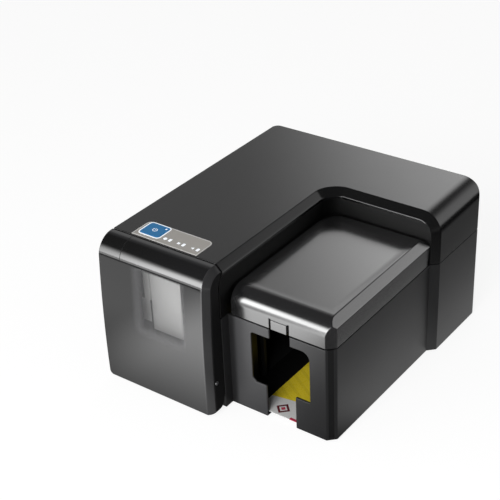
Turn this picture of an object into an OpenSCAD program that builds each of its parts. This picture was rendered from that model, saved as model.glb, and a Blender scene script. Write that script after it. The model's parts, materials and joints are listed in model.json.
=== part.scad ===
// Desktop plastic card printer. The casing is an L: a bar over the ink bay on the left and one across the back,
// with a lower card hopper under its own lid in the front right corner.
// X runs to the right, Y to the back and Z up. The origin lies on the desk, under the middle of the casing.
// Heights in the modules are measured from the casing's lower edge, and stand() lifts them onto the feet.

/* [Casing] */
// Width of the casing
body_w = 240; // [232:1:270]
// Depth from the door's front to the back
body_d = 283; // [278:1:310]
// Height of the casing above its lower edge
body_h = 148.5; // [144:0.5:165]
// Height of the covers above the parting line
cover_h = 52; // [48:0.5:56]
// Wall thickness of the mouldings
wall = 2.5; // [2:0.1:3]
// Width of the ink bay, from the left side to the hopper
bay_w = 124.1; // [122:0.1:130]
// Depth from the door's front to the bar across the back
bay_d = 195.8; // [194:0.1:203]
// Radius of the round along the top right edge
side_round = 20; // [14:0.5:24]
// Radius of the rear upright corners
corner_r = 7; // [5:0.5:10]
// Leg of the slanted edge along the recess and on the flank
edge_chamfer = 6.8; // [5:0.1:8]
// Radius of the recess's inner corner
recess_r = 18; // [14:0.5:24]
// Height and depth of the groove that shows the parting line
seam_groove = 1.2; // [0.8:0.1:1.4]

/* [Front door] */
// Depth of the door on the top side
door_top_d = 26.5; // [25:0.5:30]
// Depth of the door at its sides
door_side_d = 20.5; // [19.5:0.5:22]
// Gap between the door and the casing
door_gap = 1; // [0.6:0.1:1.2]
// Radius of the round over the door's top
door_round = 19.5; // [16:0.5:22]
// Radius of the gentle bow of the door's front
bow_r = 1330; // [900:10:2000]
// Height at which the door's front stands upright
bow_z = 35; // [20:1:50]
// Leg of the slanted edge on the door's right side
door_chamfer = 6; // [4:0.5:7]
// Height of the door's lower edge
door_lift = 1; // [0.8:0.1:1.5]
// Radius of the door's lower corners
door_corner_r = 5; // [3:0.5:7]
// Height of the door's hinge axis
door_pivot_z = 13; // [12.5:0.1:14]
// Distance of the door's hinge axis in front of the casing
door_pivot_d = 13; // [12.8:0.1:13.2]
// Diameter of the door's hinge pins
door_pin_d = 4; // [3:0.1:4.4]
// Radius of the base's hinge ears
door_ear_r = 4.4; // [4:0.1:4.5]
// Thickness of the base's hinge ears
door_ear_t = 5; // [4:0.5:7]
// Height of the base's wall below the ink bay's mouth
apron_h = 40; // [30:1:44]
// Width and height of the door's catch
catch_size = 8; // [6:0.5:10]

/* [Hopper] */
// Distance of the hopper's front behind the door's front
hopper_setback = 30.5; // [29:0.5:33]
// Leg of the slanted edge at the hopper's front right corner
hopper_chamfer = 7; // [5:0.5:9]
// Width of the card opening
opening_w = 61.5; // [58:0.5:66]
// Height of the card opening's lower edge
opening_z0 = 34; // [30:0.5:40]
// Distance of the card opening's upper edge below the parting line
opening_drop = 10; // [8:0.5:12]
// Radius of the card opening's upper right corner
opening_r = 8; // [5:0.5:10]
// Radius of the opening's upper left corner
opening_small_r = 2.5; // [1.5:0.1:4]
// Width of the finger slot below the card opening
slot_w = 31; // [26:0.5:36]
// Depth of the finger slot in the floor
slot_d = 11; // [8:0.5:16]
// Width of the notch below the lid's tab
notch_w = 21.4; // [20.8:0.1:24]
// Height of the floor ribs under the printed card
rib_h = 1; // [0.6:0.1:1.5]

/* [Lid] */
// Height of the lid above the parting line
lid_h = 27.9; // [26:0.1:34]
// Leg of the slanted edge on the lid's right side
lid_chamfer = 7.3; // [5:0.1:8]
// Radius of the round along the lid's front
lid_front_r = 15; // [10:0.5:18]
// Gap between the lid and the recess's side wall
lid_side_gap = 3.4; // [2.5:0.1:4]
// Gap between the lid and the recess's back wall
lid_back_gap = 0.8; // [0.6:0.1:1.2]
// Radius of the lid's back edge, about its hinge axis
lid_back_r = 6.5; // [6.3:0.1:7.5]
// Radius of the lid's rear left corner
lid_corner_r = 28; // [26:0.5:32]
// Forward lean of the lid's side walls at the back
lid_lean = 3.5; // [3.2:0.1:4.5]
// Depth of the dish in the lid's top
lid_dish = 1.2; // [0.6:0.1:2]
// Width of the dish's sloping edge
lid_dish_edge = 7; // [4:0.5:10]
// Diameter of the lid's hinge pins
lid_pin_d = 3; // [2.5:0.1:3.4]
// Radius of the lid's hinge lugs and posts
lid_ear_r = 3.4; // [2.8:0.1:3.5]
// Thickness of the lid's hinge lugs
lid_lug_t = 3.5; // [3:0.1:4.5]
// Thickness of the tray's hinge posts
lid_post_t = 5; // [4:0.5:7]
// Width of the thumb tab
tab_w = 17; // [15:0.5:17.5]
// Gap at each side of the thumb tab
tab_gap = 1.6; // [1:0.1:1.8]
// Height of the thumb tab
tab_h = 10.2; // [9:0.1:11]

/* [Control panel] */
// Width of the control panel
panel_w = 74.5; // [70:0.5:80]
// Depth of the control panel
panel_d = 26.5; // [24:0.5:30]
// Distance of the control panel from the casing's left side
panel_x = 20.5; // [14:0.5:26]
// Thickness of the control panel
panel_t = 1.2; // [1:0.1:1.5]
// Depth of the control panel's seat in the cover
panel_seat = 1; // [0.8:0.1:1.2]
// Radius of the control panel's rear corners
panel_r = 6; // [4:0.5:8]
// Width of the power button
button_w = 22; // [18:0.5:24]
// Depth of the power button
button_d = 19; // [16:0.5:20]
// Distance of the button from the panel's left side
button_x = 4.5; // [4:0.5:6]
// Distance of the button behind the panel's front
button_y = 5.5; // [4:0.1:6]
// Height of the power button above the cover
button_h = 0.9; // [0.7:0.1:1.5]
// Travel of the power button
button_travel = 1; // [0.6:0.1:1.2]
// Diameter of the indicator lenses
lens_d = 2.4; // [1.8:0.1:3]
// Distance of the panel's circuit board below the cover's top
panel_board_drop = 13; // [12:0.5:16]

/* [Card] */
// Length of a card
card_l = 85.6; // [84:0.1:87]
// Width of a card
card_w = 54; // [53:0.1:55]
// Thickness of a card
card_t = 0.76; // [0.5:0.01:0.9]
// Corner radius of a card
card_r = 3.2; // [2.5:0.1:4]
// Number of blank cards in the input tray
card_count = 24; // [4:1:28]
// Distance of the card path below the parting line
card_drop = 12.9; // [12:0.1:14]
// Distance of the card stack from the ink bay's wall
stack_side = 23.9; // [20:0.1:26]
// Distance of the card stack in front of the lid's hinge axis
stack_back = 23.4; // [22:0.1:26]

/* [Card feed] */
// Radius of the pick and feed rollers
roller_r = 8; // [6:0.1:8.4]
// Diameter of the roller shafts
shaft_d = 6; // [5:0.1:7]
// Radius of the pinch roller
pinch_r = 6; // [5.5:0.1:6.5]
// Diameter of the pinch roller's journals
pinch_d = 4; // [3:0.1:4.5]
// Module of the gear teeth
gear_module = 1; // [0.8:0.05:1.05]
// Teeth of the roller gears and the idler
gear_teeth = 24; // [20:2:26]
// Teeth of the motor pinion
pinion_teeth = 16; // [12:4:20]
// Thinning of each tooth for play
gear_play = 0.25; // [0.15:0.05:0.35]
// Width of the gears
gear_w = 5; // [4:0.5:6]
// Diameter of the idler's pin
idler_pin_d = 4; // [3:0.5:6]
// Thickness of the feed's plates
plate_t = 3; // [2:0.5:4]
// Thickness of the tray's floor
tray_t = 2.5; // [2:0.1:3]
// Width of the pick tyre
pick_w = 30; // [20:1:40]
// Diameter of the feed motor
feed_motor_d = 28; // [22:1:30]
// Length of the feed motor
feed_motor_l = 30; // [20:1:40]

/* [Ink carriage] */
// Diameter of the guide rod
rod_d = 8; // [6:0.5:10]
// Distance of the guide rod from the casing's left side
rod_x = 20; // [19:0.5:21]
// Distance of the guide rod above the parting line
rod_rise = 21.5; // [20:0.5:24]
// Width of the ink cartridge
ink_w = 44; // [36:1:46]
// Length of the ink cartridge
ink_l = 44.5; // [36:0.5:46]
// Gap between the ink cartridge and the panel's circuit board
ink_room = 2; // [1:0.5:6]
// Distance of the ink cartridge from the casing's left side
ink_x = 34; // [33.5:0.5:36]
// Height of the nozzles above the card path
nozzle_gap = 2; // [1.5:0.1:3]
// Thickness of the carriage's walls
carriage_t = 3; // [2:0.1:3.2]
// Depth of the lip on the ink cartridge's front
ink_lip = 2.5; // [2:0.1:3]
// Travel of the ink carriage
carriage_travel = 95; // [60:1:98]
// Width and height of the flat guide rail
rail_size = 6; // [5:0.5:7]
// Thickness of the carriage brackets
bracket_t = 3; // [2:0.5:3.5]
// Radius of the belt pulleys
pulley_r = 6; // [5:0.1:6.4]
// Thickness of the belt
belt_t = 1.2; // [0.8:0.1:1.4]
// Width of the belt
belt_w = 6; // [5:0.5:7]
// Diameter of the pulley shafts
pulley_shaft_d = 3; // [2.5:0.1:4]
// Diameter of the carriage motor
carriage_motor_d = 25; // [20:1:26]
// Length of the carriage motor
carriage_motor_l = 30; // [20:1:40]

/* [Electronics and fixings] */
// Thickness of the circuit boards
board_t = 1.6; // [1:0.1:2]
// Width of the main board
board_w = 80; // [70:1:90]
// Depth of the main board
board_d = 60; // [50:1:64]
// Distance of the main board from the casing's right wall
board_side = 17.4; // [10:0.1:24]
// Height of the main board's standoffs
standoff_h = 9.5; // [6:0.5:14]
// Height of the feet below the casing
foot_h = 2; // [1.5:0.1:4]
// Diameter of the feet
foot_d = 14; // [10:0.5:18]
// Diameter of the cover screws
screw_d = 3; // [2.5:0.1:3.5]
// Diameter of the screw heads
screw_head_d = 6; // [5.5:0.1:7]
// Width of the hexagon sockets in the screw heads, over the corners
screw_socket_d = 2.9; // [2.5:0.1:3.4]
// Depth of the sockets
screw_socket_h = 1.6; // [1.2:0.1:2]

/* [Fits] */
// Clearance of a pin that is pressed into its seat
fit_press = 0.02; // [0.01:0.01:0.05]
// Radial clearance of a pin that turns
fit_run = 0.08; // [0.05:0.01:0.1]
// Gap between parts that pass each other
fit_clear = 0.4; // [0.3:0.05:0.5]

/* [Hidden] */
$fn = 64;

// Share of an inset that a 45 degree edge loses, and the rise of an inset along such an edge
slant_loss = 2 - sqrt(2);
slant_rise = sqrt(2) - 1;
// Overlap that joins the bodies of one moulding, and overshoot of a cut
bond = 0.5;
over = 1;

// Sides of the casing and of its bars
seam_z = body_h - cover_h;
xl = -body_w / 2;
xr = body_w / 2;
yf = -body_d / 2;
yb = body_d / 2;
bay_x = xl + bay_w;
flank_y = yf + bay_d;
hop_x = xr - edge_chamfer;
hop_y = yf + hopper_setback;
hop_cx = (bay_x + hop_x) / 2;
round_x = xr - side_round;
round_z = body_h - side_round;
// The recess corner's round bites a little into both walls, so that its faces cross them
recess_bite = 0.25;
recess_cx = bay_x + recess_r - recess_bite;
recess_cy = flank_y - recess_r + recess_bite;

// Front door
door_y = yf + door_side_d;
cover_y = yf + door_top_d;
door_step_z0 = body_h - 18.5;
door_step_z1 = body_h - 5.5;
door_pivot_y = door_y - door_pivot_d;
door_sweep = door_pivot_d - 2 * door_gap;
door_ear_x = [xl + wall + fit_clear, bay_x - wall - slanted(door_chamfer, wall) - fit_clear - door_ear_t];
bow_y = yf + bow_r;
door_round_z = body_h - door_round;
door_round_y = bow_y - sqrt(pow(bow_r - door_round, 2) - pow(door_round_z - bow_z, 2));
door_split = [door_round_y, door_round_z]
  + [door_round_y - bow_y, door_round_z - bow_z] / (bow_r - door_round) * (door_round + 4);
door_pin_sink = 1;
door_skin = door_pin_sink - fit_run;
rivet_z = 35;
rivet_d = 3;
catch_z = body_h - 33.5;

// Lid
lid_x0 = bay_x + lid_side_gap;
lid_y1 = flank_y - lid_back_gap;
lid_z0 = seam_z + seam_groove;
lid_z1 = seam_z + lid_h;
lid_py = lid_y1 - lid_back_r;
lid_pz = lid_z1 - lid_back_r;
dish_x = [lid_x0 + 5, hop_x - lid_chamfer - 1.5];
dish_y = [hop_y + lid_front_r + 1, lid_py - 9];
lid_lug_x = [lid_x0 + lid_corner_r + 2, hop_x - 12.5 + fit_clear];
lid_post_x = [lid_lug_x[0] + lid_lug_t + fit_clear, hop_x - 12.5 - lid_post_t];
tab_x0 = hop_cx - tab_w / 2;

// Control panel, seen from above
panel_x0 = xl + panel_x;
panel_y0 = cover_y + door_gap;
button_x0 = panel_x0 + button_x;
button_y0 = panel_y0 + button_y;
lens_at = [for (share = [0.515, 0.72, 0.935]) [panel_x0 + share * panel_w, panel_y0 + 8.5]];
slit_at = [button_x0 + button_w - 3.4, button_y0 + button_d - 2.8];
panel_board_z = body_h - panel_board_drop;
board_boss_d = 5;
panel_board_y1 = panel_y0 + panel_d + 7;
board_boss_at = [[button_x0 + button_w + 5, panel_y0 + 4], [panel_x0 + panel_w - 6, panel_y0 + 4],
  [panel_x0 + 12, panel_board_y1 - 4], [panel_x0 + panel_w - 6, panel_board_y1 - 4]];

// Card path
card_z = seam_z - card_drop;
stack_x0 = bay_x + stack_side;
stack_y1 = lid_py - stack_back;
stack_y0 = stack_y1 - card_l;
pick_x = stack_x0 + 1.5 * roller_r;
gear_r = gear_module * gear_teeth / 2;
pinion_r = gear_module * pinion_teeth / 2;
idler_x = pick_x - 2 * gear_r;
feed_x = pick_x - 4 * gear_r;
roller_z = card_z - roller_r - fit_clear;
pinion_z = roller_z - gear_r - pinion_r;
pinch_z = card_z + card_t + fit_clear + pinch_r;
gear_clear = 2;
gear_plate_y = lid_py - lid_ear_r - plate_t - 0.6;
gear_y = gear_plate_y - gear_clear - gear_w;
front_plate_y = stack_y0 - plate_t - 2 * gear_clear;
tray_x0 = bay_x + 0.5;
tray_x1 = hop_x - wall - fit_clear;
tray_y0 = stack_y0 - 4.5;
tray_y1 = lid_py + 2;
tray_z0 = card_z - tray_t;
guide_t = 2.5;
guide_h = 16;
leg_w = 4;
bin_floor = wall + rib_h;
card_x0 = hop_cx - card_w / 2;
card_y0 = hop_y + wall + fit_clear;

// Ink carriage
rod_at = [xl + rod_x, seam_z + rod_rise];
ink_x0 = xl + ink_x;
ink_y0 = door_y + 1.5;
nozzle_z = card_z + nozzle_gap;
carriage_z = nozzle_z + 0.8;
ink_z = carriage_z + carriage_t;
ink_h = panel_board_z - ink_room - ink_z;
ink_split_x = ink_x0 + 0.16 * ink_w;
ink_split_w = 1.6;
holder_x0 = ink_x0 - fit_clear - carriage_t;
holder_x1 = ink_x0 + ink_w + fit_clear + carriage_t;
holder_y1 = ink_y0 + ink_l + fit_clear + carriage_t;
rail_x = holder_x1 + 8;
rail_z = seam_z + 1.5;
bracket_y0 = door_y + 4;
bracket_y1 = flank_y + 5.7;
bracket_x0 = xl + 8;
upright_w = holder_x0 - 1.5 - bracket_x0;
belt_x = rod_at[0] - 4;
belt_z = seam_z - 2.5;
belt_gap = 0.3;
pulley_y0 = bracket_y0 + bracket_t + 11;
pulley_y1 = bracket_y1 - 15;
flange_t = 1.1;
flange_r = pulley_r + 2;
pulley_plate_z = belt_z - belt_gap - flange_t - 0.3;
station_y0 = bracket_y0 + bracket_t + 0.5;
station_d = 0.63 * (front_plate_y - station_y0);
station_wall = station_d / 9;
station_z = seam_z - 42.5;

// Electronics
board_x0 = xr - wall - board_side - board_w;
board_y0 = yb - wall - board_d - 6;
board_z = wall + standoff_h;
port_y1 = yb - 0.3;
port_z = board_z + board_t;
usb_x = board_x0 + 20;
usb_size = [12, 16, 10.8];
inlet_x = board_x0 + 44;
inlet_size = [11, 14, 11];
screw_x = [for (share = [-0.42, -0.14, 0.14, 0.42]) share * body_w];
screw_z = seam_z - 6;
lug_w = 14;
lug_t = 4;
foot_at = [[xl + 16, door_y + 16], [hop_x - 16, hop_y + 18], [xl + 18, yb - 20], [xr - 18, yb - 20]];

// Shapes that repeat

module stand() {
  translate([0, 0, foot_h]) children();
}

module block(lo, hi) {
  translate(lo) cube(hi - lo);
}

// Prisms along each axis: the outline is (y, z), (x, z) or (x, y)
module x_prism(x0, x1) {
  translate([x0, 0, 0]) rotate([90, 0, 90]) linear_extrude(x1 - x0) children();
}

module y_prism(y0, y1) {
  translate([0, y1, 0]) rotate([90, 0, 0]) linear_extrude(y1 - y0) children();
}

module z_prism(z0, z1) {
  translate([0, 0, z0]) linear_extrude(z1 - z0) children();
}

// Rods along each axis, by two ends, two places and a diameter
module x_rod(x0, x1, y, z, d) {
  translate([x0, y, z]) rotate([0, 90, 0]) cylinder(h = x1 - x0, d = d);
}

module y_rod(y0, y1, x, z, d) {
  translate([x, y1, z]) rotate([90, 0, 0]) cylinder(h = y1 - y0, d = d);
}

module z_rod(z0, z1, x, y, d) {
  translate([x, y, z0]) cylinder(h = z1 - z0, d = d);
}

module round_rect(x0, y0, x1, y1, r) {
  translate([x0 + r, y0]) square([x1 - x0 - 2 * r, y1 - y0]);
  translate([x0, y0 + r]) square([x1 - x0, y1 - y0 - 2 * r]);
  for (x = [x0 + r, x1 - r], y = [y0 + r, y1 - r]) translate([x, y]) circle(r);
}

// Rectangle with two round corners at the back
module rear_rounded(x0, y0, x1, y1, r) {
  translate([x0, y0]) square([x1 - x0, y1 - y0 - r]);
  translate([x0 + r, y0]) square([x1 - x0 - 2 * r, y1 - y0]);
  for (x = [x0 + r, x1 - r]) translate([x, y1 - r]) circle(r);
}

function slanted(leg, inset) = leg - inset * slant_loss;

// Involute gear outline with a tooth at angle 0
function involute(a) = tan(a) - a * PI / 180;
function at(r, a) = r * [cos(a), sin(a)];
function tooth_half(m, n, r) =
  let (rb = m * n / 2 * cos(20))
  ((PI * m / 2 - gear_play) / (m * n) + involute(20) - involute(acos(min(1, rb / max(r, rb))))) * 180 / PI;
function gear_points(m, n) =
  let (rb = m * n / 2 * cos(20), root = m * n / 2 - 1.25 * m, tip = m * n / 2 + 0.9 * m)
  let (radii = [root, rb, rb + (tip - rb) * 0.35, rb + (tip - rb) * 0.7, tip])
  [for (i = [0 : n - 1]) each concat(
    [for (r = radii) at(r, i * 360 / n - tooth_half(m, n, r))],
    [for (k = [len(radii) - 1 : -1 : 0]) at(radii[k], i * 360 / n + tooth_half(m, n, radii[k]))])];

// Gear about an axis along Y, solid or with a bore
module gear_disc(n, x, z, turn) {
  translate([x, gear_y + gear_w, z]) rotate([90, 0, 0]) linear_extrude(gear_w)
    rotate(turn) polygon(gear_points(gear_module, n));
}

module gear(n, x, z, turn, bore) {
  difference() {
    gear_disc(n, x, z, turn);
    y_rod(gear_y - over, gear_y + gear_w + over, x, z, bore);
  }
}

// Base

module base_outline(inset) {
  c = slanted(hopper_chamfer, inset);
  rise = inset * slant_rise;
  intersection() {
    union() {
      translate([xl + inset, door_y + inset]) square([bay_w - 2 * inset, yb - door_y - 2 * inset]);
      polygon([[bay_x - inset - over, hop_y + inset], [hop_x - inset - c, hop_y + inset],
        [hop_x - inset, hop_y + inset + c], [hop_x - inset, flank_y + rise],
        [xr - inset, flank_y + edge_chamfer + rise], [xr - inset, yb - inset], [bay_x - inset - over, yb - inset]]);
    }
    rear_rounded(xl + inset, yf, xr - inset, yb - inset, corner_r - inset);
  }
}

// Card opening in the hopper's front, as (x, z)
module opening_outline() {
  x0 = hop_cx - opening_w / 2;
  x1 = hop_cx + opening_w / 2;
  z1 = seam_z - opening_drop;
  cut = 4;
  polygon([[x0 + cut, opening_z0], [x1, opening_z0], [x1, z1 - opening_r], [x1 - opening_r, z1 - opening_r],
    [x1 - opening_r, z1], [x0 + opening_small_r, z1], [x0 + opening_small_r, z1 - opening_small_r],
    [x0, z1 - opening_small_r], [x0, opening_z0 + cut]]);
  translate([x1 - opening_r, z1 - opening_r]) circle(opening_r);
  translate([x0 + opening_small_r, z1 - opening_small_r]) circle(opening_small_r);
  translate([hop_cx - slot_w / 2, -over]) square([slot_w, opening_z0 + 2 * over]);
  translate([hop_cx - notch_w / 2, z1 - over]) square([notch_w, opening_drop + 2 * over]);
}

module door_ear(x0) {
  difference() {
    union() {
      x_rod(x0, x0 + door_ear_t, door_pivot_y, door_pivot_z, 2 * door_ear_r);
      block([x0, door_pivot_y, door_pivot_z - door_ear_r],
        [x0 + door_ear_t, door_y, door_pivot_z + door_ear_r]);
    }
    x_rod(x0 - over, x0 + door_ear_t + over, door_pivot_y, door_pivot_z, door_pin_d + 2 * fit_press);
  }
}

module base_shell() color("#3b3d41") {
  difference() {
    union() {
      difference() {
        z_prism(0, seam_z) base_outline(0);
        z_prism(wall, seam_z + over) base_outline(wall);
      }
      // Wall between the ink bay and the card opening
      block([bay_x - wall, hop_y, bond], [bay_x, front_plate_y - over, seam_z]);
      // Floor ribs that carry the printed card
      for (x = [card_x0 + 3, card_x0 + card_w - 5])
        block([x, card_y0 + 2, wall - bond], [x + 2, card_y0 + card_l - 4, bin_floor]);
      for (x = [board_x0 + 5, board_x0 + board_w - 5], y = [board_y0 + 5, board_y0 + board_d - 5])
        z_rod(wall - bond, board_z, x, y, 6);
    }
    // Mouth of the ink bay
    block([xl + wall, door_y - over, apron_h], [bay_x - wall, door_y + wall + over, seam_z + over]);
    y_prism(hop_y - over, hop_y + wall + over) opening_outline();
    block([hop_cx - slot_w / 2, hop_y - over, -over], [hop_cx + slot_w / 2, hop_y + slot_d, wall + over]);
    // Ports, vents and screw holes in the back
    block([usb_x - fit_clear, yb - wall - over, port_z - fit_clear],
      [usb_x + usb_size[0] + fit_clear, yb + over, port_z + usb_size[2] + fit_clear]);
    block([inlet_x - fit_clear, yb - wall - over, port_z - fit_clear],
      [inlet_x + inlet_size[0] + fit_clear, yb + over, port_z + inlet_size[2] + fit_clear]);
    for (i = [0 : 8])
      block([xl + 26 + 7 * i, yb - wall - over, 38], [xl + 29 + 7 * i, yb + over, 70]);
    for (x = screw_x) {
      y_rod(yb - wall - over, yb + over, x, screw_z, screw_d + 2 * fit_run);
      y_rod(yb - 1, yb + over, x, screw_z, screw_head_d + 2 * fit_clear);
    }
  }
}

module door_hinge_ears() color("#3b3d41") {
  for (x = door_ear_x) door_ear(x);
}

// Top cover

module cover_block(inset, z0, y0) {
  c = slanted(edge_chamfer, inset);
  zt = body_h - inset;
  front = flank_y + inset;
  intersection() {
    union() {
      y_prism(y0, yb - inset)
        polygon([[xl + inset, z0], [bay_x - inset, z0], [bay_x - inset, zt - c], [bay_x - inset - c, zt],
          [xl + inset, zt]]);
      x_prism(xl + inset, round_x)
        polygon([[front, z0], [yb - inset, z0], [yb - inset, zt], [front + c, zt], [front, zt - c]]);
      z_prism(z0, round_z)
        polygon([[round_x, front], [xr - inset - c, front], [xr - inset, front + c], [xr - inset, yb - inset],
          [round_x, yb - inset]]);
      // Round along the top right edge, with the slanted edge running over it
      intersection() {
        block([round_x, flank_y, round_z], [xr, yb, body_h]);
        translate([round_x, 0, round_z]) rotate([-90, 0, 0]) union() {
          translate([0, 0, front]) cylinder(h = c, r1 = side_round - inset - c, r2 = side_round - inset);
          translate([0, 0, front + c]) cylinder(h = yb - inset - front - c, r = side_round - inset);
        }
      }
      // Hollow corner of the recess
      difference() {
        block([bay_x - inset - c, recess_cy, z0], [recess_cx, front + c, zt]);
        z_rod(z0 - over, zt + over, recess_cx, recess_cy, 2 * (recess_r + inset));
        translate([recess_cx, recess_cy, zt - c]) cylinder(h = c + over, r1 = recess_r + inset,
          r2 = recess_r + inset + c + over);
      }
    }
    z_prism(z0 - over, body_h + over) rear_rounded(xl + inset, yf, xr - inset, yb - inset, corner_r - inset);
  }
}

// Seam between the door and the casing, as (y, z), moved back by a gap
module door_side_outline(back, z0) {
  polygon([[yf - over, z0], [door_y + back, z0], [door_y + back, door_step_z0], [cover_y + back, door_step_z1],
    [cover_y + back, body_h + over], [yf - over, body_h + over]]);
}

module panel_outline(grow) {
  rear_rounded(panel_x0 - grow, panel_y0, panel_x0 + panel_w + grow, panel_y0 + panel_d + grow, panel_r + grow);
}

module top_cover() color("#55575b") {
  difference() {
    union() {
      difference() {
        cover_block(0, seam_z, door_y);
        cover_block(wall, seam_z - over, door_y - over);
      }
      // Bosses for the panel's board
      for (p = board_boss_at)
        z_rod(panel_board_z + board_t, body_h - wall + bond, p[0], p[1], board_boss_d);
      // Lugs that the screws in the back hold
      for (x = screw_x) {
        block([x - lug_w / 2, yb - wall - fit_run - lug_t, screw_z - 6],
          [x + lug_w / 2, yb - wall - fit_run, seam_z + 8]);
        block([x - lug_w / 2, yb - wall - lug_t, seam_z + 2], [x + lug_w / 2, yb - wall + bond, seam_z + 8]);
      }
    }
    x_prism(xl - over, bay_x + over) door_side_outline(0, seam_z - over);
    // Groove along the parting line
    difference() {
      z_prism(seam_z - over, seam_z + seam_groove) base_outline(-over);
      z_prism(seam_z - 2 * over, seam_z + 2 * over) base_outline(wall / 2);
    }
    z_prism(body_h - panel_seat, body_h + over) panel_outline(fit_run);
    // Holes for the button and the light pipes
    z_prism(body_h - 2 * wall, body_h)
      round_rect(button_x0 - fit_clear, button_y0 - fit_clear, button_x0 + button_w + fit_clear,
        button_y0 + button_d + fit_clear, 3);
    for (p = lens_at)
      z_rod(body_h - 2 * wall, body_h, p[0], p[1], lens_d + 2 * fit_run);
    for (x = screw_x)
      y_rod(yb - wall - 2 * lug_t, yb, x, screw_z, screw_d + 2 * fit_press);
  }
}

// Front door

// Round body about an axis along X that is drawn in by c at its right end
module x_spin(x0, x1, c, r) {
  rotate([0, 90, 0]) rotate_extrude()
    polygon([[0, x0], [r, x0], [r, x1 - c], [r - c, x1], [0, x1]]);
}

// Bowed front, round over the top and flat top, all with the slanted right edge
module door_form(inset, z0) {
  c = slanted(door_chamfer, inset);
  x0 = xl + inset;
  x1 = bay_x - inset;
  top = body_h - inset;
  intersection() {
    translate([0, bow_y, bow_z]) x_spin(x0, x1, c, bow_r - inset, $fn = 360);
    x_prism(x0 - over, x1 + over) polygon([[door_round_y, door_round_z], door_split, [yf - over, door_split[1]],
      [yf - over, z0], [cover_y + over, z0], [cover_y + over, door_round_z]]);
  }
  intersection() {
    translate([0, door_round_y, door_round_z]) x_spin(x0, x1, c, door_round - inset);
    x_prism(x0 - over, x1 + over) polygon([[door_round_y, door_round_z], door_split, [door_split[0], body_h + over],
      [door_round_y, body_h + over]]);
  }
  y_prism(door_round_y, cover_y + over)
    polygon([[x0, door_round_z], [x1, door_round_z], [x1, top - c], [x1 - c, top], [x0, top]]);
}

module front_door() color("#6d6a66") {
  difference() {
    intersection() {
      difference() {
        door_form(0, door_lift);
        door_form(wall, door_lift - over);
      }
      x_prism(xl - over, bay_x + over) door_side_outline(-door_gap, door_lift - 2 * over);
    }
    // The flanges are cut round below the hinge axis, so that they turn clear of the base
    difference() {
      block([xl - over, door_pivot_y, -over], [bay_x + over, door_y + over, door_pivot_z]);
      x_rod(xl - 2 * over, bay_x + 2 * over, door_pivot_y, door_pivot_z, 2 * door_sweep);
    }
    // Lower corners, whose rounds cross the sides at a slight angle
    y_prism(yf - over, cover_y) difference() {
      for (x = [xl - over, bay_x - door_corner_r])
        translate([x, door_lift - over]) square(door_corner_r + over);
      for (x = [xl + door_corner_r, bay_x - door_corner_r])
        translate([x, door_lift + door_corner_r]) circle(door_corner_r + 0.1);
    }
    for (x = [[xl + door_skin, xl + wall + over], [bay_x - wall - door_chamfer, bay_x - door_skin]])
      x_rod(x[0], x[1], door_pivot_y, door_pivot_z, door_pin_d + 2 * fit_run);
    x_rod(bay_x - wall - over, bay_x + over, door_pivot_y + 1, rivet_z, rivet_d + 2 * fit_press);
  }
}

module door_rivet() color("silver") {
  x_rod(bay_x - wall - 1, bay_x, door_pivot_y + 1, rivet_z, rivet_d);
  x_rod(bay_x, bay_x + 0.8, door_pivot_y + 1, rivet_z, rivet_d + 1);
}

module door_hinge_pins() color("silver") {
  for (x = [[xl + door_pin_sink, door_ear_x[0] + door_ear_t], [door_ear_x[1], bay_x - door_pin_sink]])
    x_rod(x[0], x[1], door_pivot_y, door_pivot_z, door_pin_d);
}

// Sprung nose on the bay's wall that holds the closed door
module door_catch() color("#2a2b2d") {
  x1 = bay_x - wall;
  block([x1 - 3, door_y - 5, catch_z], [x1 - fit_clear, door_y + wall, catch_z + catch_size]);
  block([x1 - 3, door_y + 0.5, catch_z - 2], [x1, door_y + 12, catch_z + catch_size + 2]);
}

// Lid

module lid_side_outline(inset, z0) {
  front = hop_y + lid_front_r;
  top = lid_z1 - inset;
  polygon([[hop_y + inset, z0], [lid_y1 - inset - lid_lean, z0], [lid_y1 - inset, lid_pz], [lid_py, lid_pz],
    [lid_py, top], [front, top], [front, lid_z1 - lid_front_r], [hop_y + inset, lid_z1 - lid_front_r]]);
  translate([front, lid_z1 - lid_front_r]) circle(lid_front_r - inset);
  translate([lid_py, lid_pz]) circle(lid_back_r - inset);
}

module lid_form(inset, z0) {
  c = slanted(lid_chamfer, inset);
  h = slanted(hopper_chamfer, inset);
  r = lid_corner_r - inset;
  x0 = lid_x0 + inset;
  x1 = hop_x - inset;
  intersection() {
    y_prism(hop_y, lid_y1) polygon([[x0, z0], [x1, z0], [x1, lid_z1 - inset - c], [x1 - c, lid_z1 - inset],
      [x0, lid_z1 - inset]]);
    x_prism(lid_x0, hop_x) lid_side_outline(inset, z0);
    z_prism(z0, lid_z1) union() {
      polygon([[x0, hop_y], [x1 - h, hop_y], [x1 - h, hop_y + inset], [x1, hop_y + inset + h], [x1, lid_y1],
        [x0 + r, lid_y1], [x0 + r, lid_y1 - inset - r], [x0, lid_y1 - inset - r]]);
      translate([x0 + r, lid_y1 - inset - r]) circle(r);
    }
  }
}

// Outline of the dish across one direction, from its rim's two sides
module dish_outline(side) {
  flare = lid_dish_edge * over / lid_dish;
  polygon([[side[0] - flare, lid_z1 + over], [side[0] + lid_dish_edge, lid_z1 - lid_dish],
    [side[1] - lid_dish_edge, lid_z1 - lid_dish], [side[1] + flare, lid_z1 + over]]);
}

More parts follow.
